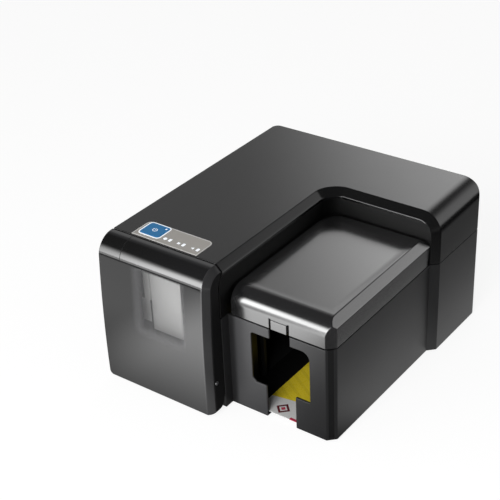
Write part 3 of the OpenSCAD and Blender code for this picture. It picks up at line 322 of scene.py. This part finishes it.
def brushed(tree, rgb, rough):
    """Ground metal with streaks along X and a little staining."""
    streak_scale, streak_rough = (60.0, 2600.0, 2600.0), 0.3
    stain_scale, stain_detail = 40.0, 3.0
    place = tree.place()
    streak = tree.noise(tree.stretched(place, streak_scale), 1.0)
    stain = tree.noise(place, stain_scale, stain_detail)
    tree.surface({
        "Base Color": tree.blend(stain, shade(rgb, 0.88), shade(rgb, 1.08)),
        "Roughness": rough + (streak - 0.5) * streak_rough,
        "Metallic": 1.0,
        "Normal": tree.bump(streak, 0.1, 0.02 * MM),
    })


def smoked(tree):
    """Smoked door with a clear window before the ink parts, grooves around its panel and a flange, with painted light
    and shade: a darker left, a light grey window, a lit bevel and top, a painted shadow line at the back and the
    flange painted black.
    """
    rgb = colours()
    place = tree.place()
    x, y, z = tree.millimetres(place)
    low, high = corners("front_door")
    haze = tree.noise(place, 30.0)
    # Depth behind the bowed front
    rise = z - BOW_HEIGHT
    depth = y - low.y - rise * rise / (2.0 * BOW_RADIUS)
    front_wall, outer_skin = 4.0, 1.25
    # The window, which fades out at its sides, its foot and its top. It is partly clear, and its light grey is
    # painted light that stands for the lit ink parts behind it
    left = tree.step(x, low.x + 36.0, low.x + 50.0)
    right = 1.0 - tree.step(x, high.x - 31.0, high.x - 24.0)
    foot = tree.step(z, 62.0, 76.0)
    top = 1.0 - tree.step(z, PANEL_TOP - 3.0, PANEL_TOP)
    window = left * right * foot * top * (depth < front_wall)
    clear, clear_inside = 0.68, 0.32
    # The groove over the panel and the short line above it, and a painted shadow line along the lip at the back,
    # where the door meets the cover
    groove_half, line_place, line_half, shadow_lip, bevel_width = 0.75, 25.0, 0.3, 1.3, 7.0
    above = z > PANEL_TOP
    grooves_and_shadow_line = (abs(z - PANEL_TOP) < groove_half).both(x < high.x - bevel_width)
    grooves_and_shadow_line = grooves_and_shadow_line.either((abs(x - low.x - line_place) < line_half).both(above))
    grooves_and_shadow_line = grooves_and_shadow_line.either((y > high.y - shadow_lip).both(above))
    # Painted highlights: the bevel at the right and the strip along the top are painted lighter
    bevel = tree.step(x, high.x - 7.6, high.x - 6.8)
    lit_roof = tree.step(z, high.z - 1.2, high.z - 0.2)
    # The flange at the right, which faces the hopper, is painted nearly black and matt as shade
    flange = tree.step(x, high.x - 1.2, high.x - 0.4)
    matt = grooves_and_shadow_line.either(flange)
    matt_rough, coat = 0.8, 0.4
    # Painted light and shade: the left is darker than the right, the window is light grey for the lit ink parts
    # behind it, and the bevel and top are lighter
    smoke_and_painted_light = tree.blend(tree.step(x, low.x + 10.0, high.x - 14.0), shade(rgb.smoke_shaded_left), shade(rgb.smoke_lit_right))
    smoke_and_painted_light = tree.blend(window, smoke_and_painted_light, shade(rgb.smoke_window_light))
    smoke_and_painted_light = tree.blend(bevel.either(lit_roof), smoke_and_painted_light, shade(rgb.smoke_edge_highlight))
    tree.surface({
        "Base Color": tree.blend(matt, smoke_and_painted_light, shade(rgb.inner, 0.3)),
        "Roughness": 0.12 + (haze - 0.5) * 0.04 + matt * matt_rough,
        "Specular IOR Level": 0.5,
        "Alpha": 1.0 - window * (clear + (depth > outer_skin) * clear_inside),
        "Coat Weight": coat - matt * coat,
        "Coat Roughness": 0.06,
    })


def circuit(tree):
    """Solder mask over square copper tracks."""
    rgb = colours().board
    track_scale, track_spread, track_width, track_tone = 260.0, 0.35, 0.08, 1.9
    track = tree.add("ShaderNodeTexVoronoi", {"feature": "DISTANCE_TO_EDGE"},
                     {"Vector": tree.place(), "Scale": track_scale, "Randomness": track_spread})
    line = track < track_width
    tree.surface({
        "Base Color": tree.blend(line, shade(rgb), shade(rgb, track_tone)),
        "Roughness": 0.35 + line * 0.1,
        "Normal": tree.bump(line, 0.2, 0.03 * MM),
    })


def white_cards(tree):
    """Glossy white cards, with a fine line between each two in the stack."""
    rgb = colours().card
    place = tree.place()
    z = tree.parts(place)[2]
    low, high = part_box("output_card")
    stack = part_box("blank_cards")[0].z
    line_share, line_tone = 0.14, 0.35
    line = ((z - stack) / (high.z - low.z)).fract() < line_share
    tone = tree.blend(tree.noise(place, 60.0), shade(rgb, 0.97), shade(rgb, 1.03))
    tree.surface({
        "Base Color": tree.blend(line, tone, shade(rgb, line_tone)),
        "Roughness": 0.28 + line * 0.4,
    })


def printed_card(tree):
    """White card with a yellow field and plain geometric marks, in millimetres from its front left corner."""
    rgb = colours()
    place = tree.place()
    x, y, _ = tree.parts(place)
    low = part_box("output_card")[0]
    across = (x - low.x) / MM
    along = (y - low.y) / MM
    field_slope, field_start, field_end = 0.16, 20.0, 20.4
    field = tree.step(along - across * field_slope, field_start, field_end)
    wave_slope, wave_pitch, wave_share, wave_depth, wave_tone = 0.6, 11.0, 0.32, 0.35, 0.72
    wave = ((along + across * wave_slope) / wave_pitch).fract() < wave_share
    mark_across, mark_along, mark_outer, mark_inner, core_reach = 20.0, 9.5, 7.5, 4.6, 2.6
    lozenge = abs(across - mark_across) + abs(along - mark_along)
    mark = (lozenge < mark_outer).both(lozenge > mark_inner)
    core = lozenge < core_reach
    bar_width, bar_start = 2.6, 33.0
    bar = (along < bar_width).both(across > bar_start)
    yellow = tree.blend(wave * wave_depth, shade(rgb.card_field), shade(rgb.card_field, wave_tone))
    ground = tree.blend(field, shade(rgb.card), yellow)
    ground = tree.blend(mark, ground, shade(rgb.card_mark))
    ground = tree.blend(core.either(bar), ground, shade(rgb.card_bar))
    grain = tree.noise(place, 900.0)
    tree.surface({
        "Base Color": ground,
        "Roughness": 0.24 + grain * 0.08,
        "Coat Weight": 0.4,
    })


FINISHES = {
    # The cover's recess walls and the base's inner walls are painted nearly black as shade, and the base is painted
    # darker as shade away from the lit left of the hopper's front
    "cover_plastic": lambda t: moulded(t, colours().cover, 0.22, depth=0.04, gloss=0.55, shaded_recess=lid_recess_shade),
    "base_plastic": lambda t: moulded(t, colours().base, 0.36, depth=0.08, gloss=0.42, pale=lit_hopper_front,
                                      shaded_recess=hopper_inside_shade),
    "smoked_plastic": smoked,
    "lid_plastic": lambda t: moulded(t, colours().lid, 0.2, depth=0.015, coat=1.0, ior=1.85),
    "panel_plastic": lambda t: moulded(t, colours().panel, 0.4, grain=0.3 * MM, depth=0.05),
    # The button's glow is painted light; the lens plastic's glow stands for lit lights on the light caps and is
    # painted light on the printed signs and the button's frame
    "button_plastic": lambda t: moulded(t, colours().button, 0.3, depth=0.02, gloss=0.3, glow=0.25),
    "lens_plastic": lambda t: moulded(t, colours().lens, 0.3, depth=0.02, glow=0.55),
    "inner_plastic": lambda t: moulded(t, colours().inner, 0.55, depth=0.15, gloss=0.2),
    "pale_plastic": lambda t: moulded(t, colours().pale, 0.42, depth=0.1),
    "gear_plastic": lambda t: moulded(t, colours().gear, 0.4, depth=0.05),
    "printed_card": printed_card,
    "white_card": white_cards,
    "rubber": lambda t: moulded(t, colours().rubber, 0.78, grain=0.25 * MM, depth=0.3, gloss=0.3),
    "steel": lambda t: brushed(t, colours().steel, 0.28),
    "plate_metal": lambda t: moulded(t, colours().plate, 0.5, grain=0.2 * MM, depth=0.25),
    "motor_can": lambda t: brushed(t, colours().can, 0.38),
    "circuit_board": circuit,
}
NODE_SLOT = {part["node"]: part["material_slot"] for part in frame["record"]["subparts"]}
NODE_BODY = {node: body for body, nodes in frame["record"]["behaviour"]["bodies"].items() for node in nodes}


def finish(slot):
    """The material of a slot, made when it is first asked for."""
    made = bpy.data.materials.get(slot + "_finish")
    if made is None:
        made = bpy.data.materials.new(slot + "_finish")
        FINISHES[slot](Tree(made))
    return made


# Pieces


def smooth(piece, angle=40.0):
    """Smooth shading that keeps flat faces flat and sharp edges sharp."""
    mesh = piece.data
    if "custom_normal" in mesh.attributes:
        mesh.attributes.remove(mesh.attributes["custom_normal"])
    mesh.shade_smooth()
    mesh.set_sharp_from_angle(angle=math.radians(angle))
    weighted = piece.modifiers.new("even_shading", "WEIGHTED_NORMAL")
    weighted.keep_sharp = True


def placed(name, mesh, body, slot):
    """Puts a mesh in the scene as a piece of a body."""
    mesh.materials.clear()
    mesh.materials.append(finish(slot))
    piece = bpy.data.objects.new(name, mesh)
    bpy.context.scene.collection.objects.link(piece)
    smooth(piece)
    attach(piece, body)
    return piece


def made(name, shape, body, slot):
    """Closes a bmesh and puts it in the scene."""
    bmesh.ops.remove_doubles(shape, verts=shape.verts, dist=MERGE)
    bmesh.ops.recalc_face_normals(shape, faces=shape.faces)
    mesh = bpy.data.meshes.new(name)
    shape.to_mesh(mesh)
    shape.free()
    return placed(name, mesh, body, slot)


def rounded_copy(node, edge, segments=3, sharp=25.0, keep=lambda middle: False):
    """A welded copy of a solid with its sharp edges rounded, which stands for the solid.

    sharp is the angle, in degrees, above which a convex edge is rounded. keep says of an edge's middle whether the
    edge stays sharp all the same, where two edges are too close to be rounded.
    """
    source = frame["nodes"][node]
    shape = bmesh.new()
    shape.from_mesh(source.data)
    bmesh.ops.remove_doubles(shape, verts=shape.verts, dist=WELD)
    bmesh.ops.dissolve_limit(shape, angle_limit=math.radians(FLAT_ANGLE), verts=shape.verts, edges=shape.edges)
    hard = [e for e in shape.edges
            if len(e.link_faces) == 2 and e.is_convex and e.calc_face_angle() > math.radians(sharp)
            and not keep((e.verts[0].co + e.verts[1].co) / 2)]
    bmesh.ops.bevel(shape, geom=hard, offset=edge, offset_type="OFFSET", segments=segments, profile=0.5,
                    affect="EDGES", clamp_overlap=False, material=-1)
    mesh = bpy.data.meshes.new(node + "_skin")
    shape.to_mesh(mesh)
    shape.free()
    piece = placed(node + "_skin", mesh, NODE_BODY[node], NODE_SLOT[node])
    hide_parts(node)
    return piece


def repaint(nodes):
    """Gives solids whose shape is right their finish."""
    for node in nodes:
        solid = frame["nodes"][node]
        for index in range(len(solid.material_slots)):
            solid.material_slots[index].material = finish(NODE_SLOT[node])
        if not solid.material_slots:
            solid.data.materials.append(finish(NODE_SLOT[node]))


def plate_outline(x0, y0, x1, y1, z, corner_radius, rear_only=False):
    """A flat rectangle with round corners."""
    shape = bmesh.new()
    bmesh.ops.create_grid(shape, x_segments=1, y_segments=1, size=0.5)
    bmesh.ops.scale(shape, vec=(x1 - x0, y1 - y0, 1.0), verts=shape.verts)
    bmesh.ops.translate(shape, vec=((x0 + x1) / 2, (y0 + y1) / 2, z), verts=shape.verts)
    turns = [v for v in shape.verts if not rear_only or v.co.y > (y0 + y1) / 2]
    bmesh.ops.bevel(shape, geom=turns, offset=corner_radius, segments=6, profile=0.5, affect="VERTICES",
                    material=-1)
    return shape


def raised(shape, height):
    """Gives flat faces a thickness."""
    faces = list(shape.faces)
    grown = bmesh.ops.extrude_face_region(shape, geom=faces, use_keep_orig=True)
    top = [v for v in grown["geom"] if isinstance(v, bmesh.types.BMVert)]
    bmesh.ops.translate(shape, vec=(0, 0, height), verts=top)
    return shape


def ring_of(shape, width):
    """Keeps only a line of the given width along a flat face's edge."""
    middle = list(shape.faces)
    bmesh.ops.inset_region(shape, faces=middle, thickness=width, use_boundary=True, use_even_offset=True)
    bmesh.ops.delete(shape, geom=middle, context="FACES")
    return shape


def slab(name, low, high, edge, body, slot):
    """A plate with rounded edges between two corners, in millimetres."""
    low, high = Vector(low) * MM, Vector(high) * MM
    shape = bmesh.new()
    bmesh.ops.create_cube(shape, size=1.0)
    bmesh.ops.scale(shape, vec=high - low, verts=shape.verts)
    bmesh.ops.translate(shape, vec=(low + high) / 2, verts=shape.verts)
    bmesh.ops.bevel(shape, geom=list(shape.edges), offset=edge * MM, offset_type="OFFSET", segments=2, profile=0.5,
                    affect="EDGES", clamp_overlap=True, material=-1)
    return made(name, shape, body, slot)


class PrinterOperator:
    """What the pieces' operators share."""

    bl_options = {"REGISTER", "UNDO"}


class CARDPRINTER_OT_casing(PrinterOperator, bpy.types.Operator):
    """Rounds the edges of the base and of the top cover"""

    bl_idname = "card_printer.casing"
    bl_label = "Casing"

    def execute(self, context):
        rounded_copy("base_shell", sizes().shell_edge)
        rounded_copy("top_cover", sizes().shell_edge, keep=self.narrow_place())
        return {"FINISHED"}

    def narrow_place(self):
        """A test for edges of the cover's narrow faces: in the seam's groove, and around the control panel."""
        low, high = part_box("control_panel")
        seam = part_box("base_shell")[1].z
        spare, grooves_and_shadow_line = 0.2 * MM, 1.1 * MM

        def narrow(middle):
            at_panel = (low.x - spare < middle.x < high.x + spare and low.y - spare < middle.y < high.y + spare
                        and middle.z > low.z)
            return at_panel or seam - spare < middle.z < seam + grooves_and_shadow_line

        return narrow


class CARDPRINTER_OT_front_door(PrinterOperator, bpy.types.Operator):
    """Makes the smoked front door with its rivet and hinge"""

    bl_idname = "card_printer.front_door"
    bl_label = "Front door"

    def execute(self, context):
        rounded_copy("front_door", sizes().shell_edge)
        rounded_copy("door_rivet", sizes().small_edge)
        rounded_copy("door_catch", sizes().small_edge)
        rounded_copy("door_hinge_ears", sizes().small_edge)
        repaint(["door_hinge_pins"])
        return {"FINISHED"}


class CARDPRINTER_OT_hopper_lid(PrinterOperator, bpy.types.Operator):
    """Makes the hopper's lid with its thumb tab and hinge pins"""

    bl_idname = "card_printer.hopper_lid"
    bl_label = "Hopper lid"

    def execute(self, context):
        rounded_copy("hopper_lid", sizes().shell_edge)
        rounded_copy("lid_tab", sizes().shell_edge)
        repaint(["lid_hinge_pins"])
        self.tab_bridge()
        return {"FINISHED"}

    def tab_bridge(self):
        """The sliver of the lid's front that closes the tab's slot at its top."""
        low, high = corners("lid_tab")
        front = corners("hopper_lid")[0].y
        side, drop, gap, depth, edge = 4.0, 2.3, 0.08, 1.5, 0.2
        slab("tab_bridge", (low.x + side, front + gap, high.z - drop), (high.x - side, front + depth, high.z), edge,
             "lid", "lid_plastic")


class CARDPRINTER_OT_control_panel(PrinterOperator, bpy.types.Operator):
    """Makes the control panel with its trim, button, lights and signs"""

    bl_idname = "card_printer.control_panel"
    bl_label = "Control panel"

    def execute(self, context):
        rounded_copy("control_panel", sizes().metal_edge)
        self.button()
        repaint(["status_lenses", "panel_board", "power_switch"])
        low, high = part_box("control_panel")
        self.trim(low, high)
        self.button_frame(high.z)
        self.power_sign()
        self.lights(low, high)
        return {"FINISHED"}

    def trim(self, low, high):
        """The pale line along the panel's edge."""
        inset, corner, height = 0.3 * MM, 5.7 * MM, 0.1 * MM
        line = plate_outline(low.x + inset, low.y + inset, high.x - inset, high.y - inset, high.z, corner,
                             rear_only=True)
        made("panel_trim", raised(ring_of(line, sizes().trim_width), height), "casing", "pale_plastic")

    def button(self):
        """The button, with its top sunk by the height of the sign on it."""
        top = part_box("power_button")[1].z
        button = rounded_copy("power_button", sizes().small_edge)
        for vertex in button.data.vertices:
            vertex.co.z = min(vertex.co.z, top - sizes().print_height)

    def button_frame(self, z):
        """The pale frame around the button, whose box holds its hidden flange too."""
        low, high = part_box("power_button")
        gap, flange, corner, height = 0.5 * MM, 1 * MM, 4 * MM, 0.3 * MM
        width = sizes().rim_width
        reach = gap + width - flange
        rim = plate_outline(low.x - reach, low.y - reach, high.x + reach, high.y + reach, z, corner)
        made("button_frame", raised(ring_of(rim, width), height), "casing", "lens_plastic")

    def power_sign(self):
        """An open ring and a stroke, printed on the button."""
        low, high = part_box("power_button")
        middle = (low + high) / 2
        radius = sizes().sign_radius
        line = 0.3 * MM
        z = high.z - sizes().print_height
        first_turn, sweep, steps = math.radians(125), math.radians(290), 28
        ring = bmesh.new()
        ends = [ring.verts.new((middle.x + r, middle.y, z)) for r in (radius - line, radius + line)]
        start = ring.edges.new(ends)
        bmesh.ops.rotate(ring, cent=middle, matrix=Matrix.Rotation(first_turn, 3, "Z"), verts=ring.verts)
        bmesh.ops.spin(ring, geom=[start, *ends], cent=middle, axis=(0, 0, 1), angle=sweep, steps=steps)
        made("power_ring", raised(ring, sizes().print_height), "button", "lens_plastic")
        foot, corner = 0.4 * MM, 0.1 * MM
        stroke = plate_outline(middle.x - line, middle.y + foot, middle.x + line, middle.y + radius + line, z, corner)
        made("power_stroke", raised(stroke, sizes().print_height), "button", "lens_plastic")

    def lights(self, low, high):
        """Three lit caps in a row, each with a disc, a square or a triangle beside it."""
        places, sides, turns = (0.515, 0.72, 0.935), (24, 4, 3), (0, 45, 90)
        half_x, half_y, corner, height = 1.3 * MM, 2.1 * MM, 0.6 * MM, 0.18 * MM
        row, sign_gap, sign_radius = 8.5 * MM, 5.6 * MM, 1.9 * MM
        y, z = low.y + row, high.z
        for index, (share, side_count, turn) in enumerate(zip(places, sides, turns)):
            x = low.x + share * (high.x - low.x)
            cap = plate_outline(x - half_x, y - half_y, x + half_x, y + half_y, z, corner)
            made(f"light_cap_{index}", raised(cap, height), "casing", "lens_plastic")
            sign = bmesh.new()
            bmesh.ops.create_circle(sign, cap_ends=True, segments=side_count, radius=sign_radius)
            tilt = Matrix.Rotation(math.radians(turn), 3, "Z")
            bmesh.ops.rotate(sign, cent=(0, 0, 0), matrix=tilt, verts=sign.verts)
            bmesh.ops.translate(sign, vec=(x - sign_gap, y, z), verts=sign.verts)
            made(f"light_sign_{index}", raised(sign, sizes().print_height), "casing", "lens_plastic")


class CARDPRINTER_OT_cards(PrinterOperator, bpy.types.Operator):
    """Finishes the printed card and the stack of blank cards"""

    bl_idname = "card_printer.cards"
    bl_label = "Cards"

    def execute(self, context):
        card_edge = 0.1 * MM
        rounded_copy("output_card", card_edge, segments=1, sharp=50.0)
        repaint(["blank_cards"])
        return {"FINISHED"}


class CARDPRINTER_OT_ink_carriage(PrinterOperator, bpy.types.Operator):
    """Finishes the ink carriage, its guides, its belt drive and the cleaning station"""

    bl_idname = "card_printer.ink_carriage"
    bl_label = "Ink carriage"

    def execute(self, context):
        for node in ("carriage", "ink_cartridge", "service_station", "station_stand", "print_cap"):
            rounded_copy(node, sizes().small_edge)
        for node in ("front_bracket", "rear_bracket", "guide_rail", "idler_plate", "motor_plate"):
            rounded_copy(node, sizes().metal_edge, segments=2)
        repaint(["guide_rod", "drive_belt", "motor_pulley", "idler_pulley", "idler_axle", "carriage_motor"])
        self.station_shield()
        return {"FINISHED"}

    def station_shield(self):
        """A pale plate, which the front bracket holds before the cleaning station, with a dark strip in it that is
        painted shade: it stands for the shadow along the plate's edge.
        """
        low, high = corners("ink_cartridge")
        front = corners("front_bracket")[0].y
        plate, shade_strip_depth, shade_strip_width = 0.8, 1.0, 1.7
        left_foot, shade_strip_foot, right_foot = 63.0, 50.0, 56.0
        left, shade_strip, right, top = low.x - 5.0, low.x + 5.2, high.x - 1.5, low.z - 0.4
        slab("shield_left", (left, front - plate, left_foot), (shade_strip, front, top), 0.3, "casing", "pale_plastic")
        # The dark strip is painted shade along the left plate's edge
        slab("shield_shade_strip", (shade_strip, front - shade_strip_depth, shade_strip_foot), (shade_strip + shade_strip_width, front, top), 0.2,
             "casing", "inner_plastic")
        slab("shield_right", (shade_strip + shade_strip_width, front - plate, right_foot), (right, front, top), 0.3,
             "casing", "pale_plastic")


class CARDPRINTER_OT_card_feed(PrinterOperator, bpy.types.Operator):
    """Finishes the input tray, the rollers, the gears and their plates"""

    bl_idname = "card_printer.card_feed"
    bl_label = "Card feed"

    def execute(self, context):
        for node in ("input_tray", "platen"):
            rounded_copy(node, sizes().small_edge)
        for node in ("front_plate", "gear_plate"):
            rounded_copy(node, sizes().metal_edge, segments=2)
        repaint(["pick_shaft", "pick_tyre", "pick_gear", "feed_shaft", "feed_tyre", "feed_gear", "pinch_roller",
                 "idler_gear", "idler_pin", "motor_pinion", "feed_motor"])
        return {"FINISHED"}


class CARDPRINTER_OT_fixings(PrinterOperator, bpy.types.Operator):
    """Finishes the main board, the sockets, the screws and the feet"""

    bl_idname = "card_printer.fixings"
    bl_label = "Fixings"

    def execute(self, context):
        rounded_copy("rubber_feet", sizes().shell_edge)
        for node in ("usb_port", "power_inlet", "cover_screws"):
            rounded_copy(node, sizes().metal_edge, segments=2)
        repaint(["main_board"])
        return {"FINISHED"}


class CARDPRINTER_OT_stage(PrinterOperator, bpy.types.Operator):
    """Sets up the floor, the light and the camera"""

    bl_idname = "card_printer.stage"
    bl_label = "Stage"

    # Camera that was fitted to the casing's edges in the photograph
    PLACE = (0.5708, -0.8119, 0.7015)
    RIGHT = (0.806816056, 0.589369249, -0.041130769)
    UP = (-0.27428686, 0.435325609, 0.857472059)
    BACK = (0.523272941, -0.680540595, 0.512883932)
    LENS = 88.7
    SENSOR = 36.0

    # Ways to the bright panels of the studio
    KEY = (-0.643, -0.766, 0.0)
    ACROSS_KEY = (0.809, -0.588, 0.0)
    BACK_PANEL = (-0.25, 0.88, 0.404)
    RING = (-0.45, 0.76, 0.47)
    NEAR_RING = (-0.62, 0.58, 0.53)

    # Lamp: the way to it, and its distance and width in metres and power in watts
    LAMP_WAY = (0.18, -0.82, 0.54)
    LAMP_DISTANCE = 1.5
    LAMP_WIDTH = 0.8
    LAMP_POWER = 13.0

    def execute(self, context):
        scene = context.scene
        scene.view_settings.view_transform = "Standard"
        self.floor(scene)
        self.world(scene)
        self.lamp(scene)
        self.camera(scene)
        return {"FINISHED"}

    def rays(self, tree, *names):
        """1 for rays of the given kinds."""
        path = tree.add("ShaderNodeLightPath").socket.node.outputs
        first, *others = (Field(tree, path[name]) for name in names)
        for other in others:
            first = first.either(other)
        return first

    def floor(self, scene):
        """White paper that takes the object's shadow, with a glow of its own that only mirrors show."""
        half_width, paper, shadow_share, white_share = 5.0, 0.8, 0.20, 0.87
        shape = bmesh.new()
        bmesh.ops.create_grid(shape, x_segments=1, y_segments=1, size=half_width)
        mesh = bpy.data.meshes.new("floor")
        shape.to_mesh(mesh)
        shape.free()
        paint = bpy.data.materials.new("floor_paper")
        tree = Tree(paint)
        mirrored = tree.add("ShaderNodeEmission", None, {"Color": WHITE, "Strength": self.floor_glow(tree)})
        lit = tree.add("ShaderNodeBsdfDiffuse", None, {"Color": shade((shadow_share,) * 3)})
        white = tree.add("ShaderNodeEmission", None, {"Color": WHITE, "Strength": white_share})
        shown = tree.add("ShaderNodeAddShader", None, {0: lit, 1: white})
        plain = tree.add("ShaderNodeBsdfDiffuse", None, {"Color": shade((paper,) * 3)})
        mixed = tree.add("ShaderNodeMixShader", None,
                         {0: self.rays(tree, "Is Glossy Ray", "Is Transmission Ray"), 1: plain, 2: mirrored})
        mixed = tree.add("ShaderNodeMixShader", None, {0: self.rays(tree, "Is Camera Ray"), 1: mixed, 2: shown})
        tree.add("ShaderNodeOutputMaterial", None, {"Surface": mixed})
        mesh.materials.append(paint)
        floor = bpy.data.objects.new("floor", mesh)
        scene.collection.objects.link(floor)

    def floor_glow(self, tree):
        """Strength of the floor in mirrors: brightest in front and left of the middle, with a strip at the right."""
        x, y, _ = tree.parts(tree.place())
        front, left = y * -1.0, x * -1.0
        dim, near, far = 0.08, 2.75, 5.0
        right_loss, far_right_loss, left_loss = 0.85, 0.7, 0.66
        strip, strip_edge = 0.6, 0.17
        glow = dim + tree.step(front, 0.09, 0.27) * near + tree.step(front, 0.55, 0.66) * far
        glow = glow * (1.0 - right_loss * tree.step(x, -0.02, 0.06))
        glow = glow * (1.0 - left_loss * tree.step(left, 0.10, 0.19))
        glow = glow * (1.0 - far_right_loss * tree.step(x, 0.07, 0.14))
        side = (x > 0.10) * (1.0 - tree.step(left * 0.6 + front * 0.8, -0.05, 0.03))
        inner, outer = 1.0 - tree.step(x, 0.12, 0.20), 1.0 - tree.step(x, 0.25, 0.34)
        return glow + side * (inner * strip + outer * strip_edge)

    def toward(self, tree, way, axis):
        """Cosine of the angle between a ray and an axis."""
        return tree.add("ShaderNodeVectorMath", {"operation": "DOT_PRODUCT"}, {0: way, 1: axis}, out="Value")

    def panels(self, tree):
        """Strength of the studio that mirrors show: dark, with soft panels at the front left and at the back."""
        way = tree.add("ShaderNodeTexCoord", out="Generated")
        x, y, z = tree.parts(way)
        key = tree.step(self.toward(tree, way, self.KEY), 0.62, 0.80) * (1.0 - tree.step(z, 0.22, 0.56))
        across = self.toward(tree, way, self.ACROSS_KEY)
        key = key * (0.6 + 0.65 * tree.step(across, -0.06, 0.02) - 0.4 * tree.step(across, 0.06, 0.12))
        back = tree.step(self.toward(tree, way, self.BACK_PANEL), 0.94, 0.992)
        ring = tree.step(self.toward(tree, way, self.RING), 0.88, 0.97)
        near_ring = tree.step(self.toward(tree, way, self.NEAR_RING), 0.98, 0.997)
        horizon = (1.0 - tree.step(z, 0.40, 0.62)) * tree.step(y, 0.2, 0.6) * tree.step(x, -0.1, 0.3)
        return 0.08 + key * 8.0 + back * 2.7 + ring * 0.3 + near_ring * 0.2 + horizon * 1.3

    def world(self, scene):
        """White behind the object, the studio's panels in mirrors, and a softer share of them on matt surfaces."""
        studio = bpy.data.worlds.new("studio")
        scene.world = studio
        tree = Tree(studio)
        light = self.panels(tree)
        camera = self.rays(tree, "Is Camera Ray")
        mirrored = self.rays(tree, "Is Glossy Ray", "Is Transmission Ray")
        fill, panel_share = 0.2, 0.32
        soft = fill + light * panel_share
        strength = camera + mirrored * light + (1.0 - camera - mirrored) * soft
        glow = tree.add("ShaderNodeBackground", None, {"Color": WHITE, "Strength": strength})
        tree.add("ShaderNodeOutputWorld", None, {"Surface": glow})

    def lamp(self, scene):
        """A soft lamp in front of the object, which reaches the card in its bin and isn't seen in mirrors."""
        data = bpy.data.lights.new("front_lamp", "AREA")
        data.shape = "DISK"
        data.size = self.LAMP_WIDTH
        data.energy = self.LAMP_POWER
        lamp = bpy.data.objects.new("front_lamp", data)
        lamp.visible_glossy = False
        scene.collection.objects.link(lamp)
        back = Vector(self.LAMP_WAY).normalized()
        turn = back.to_track_quat("Z", "Y").to_matrix().to_4x4()
        lamp.matrix_world = Matrix.Translation(back * self.LAMP_DISTANCE) @ turn

    def camera(self, scene):
        data = bpy.data.cameras.new("camera")
        data.sensor_width = self.SENSOR
        data.lens = self.LENS
        data.clip_start, data.clip_end = 0.01, 50.0
        camera = bpy.data.objects.new("camera", data)
        scene.collection.objects.link(camera)
        turn = Matrix((self.RIGHT, self.UP, self.BACK)).transposed()
        camera.matrix_world = Matrix.Translation(self.PLACE) @ turn.to_4x4()
        scene.camera = camera


OPERATORS = (
    CARDPRINTER_OT_stage, CARDPRINTER_OT_casing, CARDPRINTER_OT_front_door, CARDPRINTER_OT_hopper_lid,
    CARDPRINTER_OT_control_panel, CARDPRINTER_OT_cards, CARDPRINTER_OT_ink_carriage, CARDPRINTER_OT_card_feed,
    CARDPRINTER_OT_fixings,
)


class CARDPRINTER_PT_pieces(bpy.types.Panel):
    """Lists the printer's pieces, sizes and colours"""

    bl_idname = "CARDPRINTER_PT_pieces"
    bl_label = "Card printer"
    bl_space_type = "VIEW_3D"
    bl_region_type = "UI"
    bl_category = "Card printer"

    def draw(self, context):
        for operator in OPERATORS:
            self.layout.operator(operator.bl_idname)
        for group in (sizes(), colours()):
            for name in group.bl_rna.properties.keys():
                if name not in ("rna_type", "name"):
                    self.layout.prop(group, name)


CLASSES = (PrinterSizes, PrinterColours, *OPERATORS, CARDPRINTER_PT_pieces)


def register():
    for cls in CLASSES:
        bpy.utils.register_class(cls)
    bpy.types.Scene.card_printer_sizes = bpy.props.PointerProperty(type=PrinterSizes)
    bpy.types.Scene.card_printer_colours = bpy.props.PointerProperty(type=PrinterColours)


def unregister():
    del bpy.types.Scene.card_printer_colours
    del bpy.types.Scene.card_printer_sizes
    for cls in reversed(CLASSES):
        bpy.utils.unregister_class(cls)


def main():
    register()
    for operator in OPERATORS:
        group, name = operator.bl_idname.split(".")
        getattr(getattr(bpy.ops, group), name)()


if __name__ == "__main__":
    main()
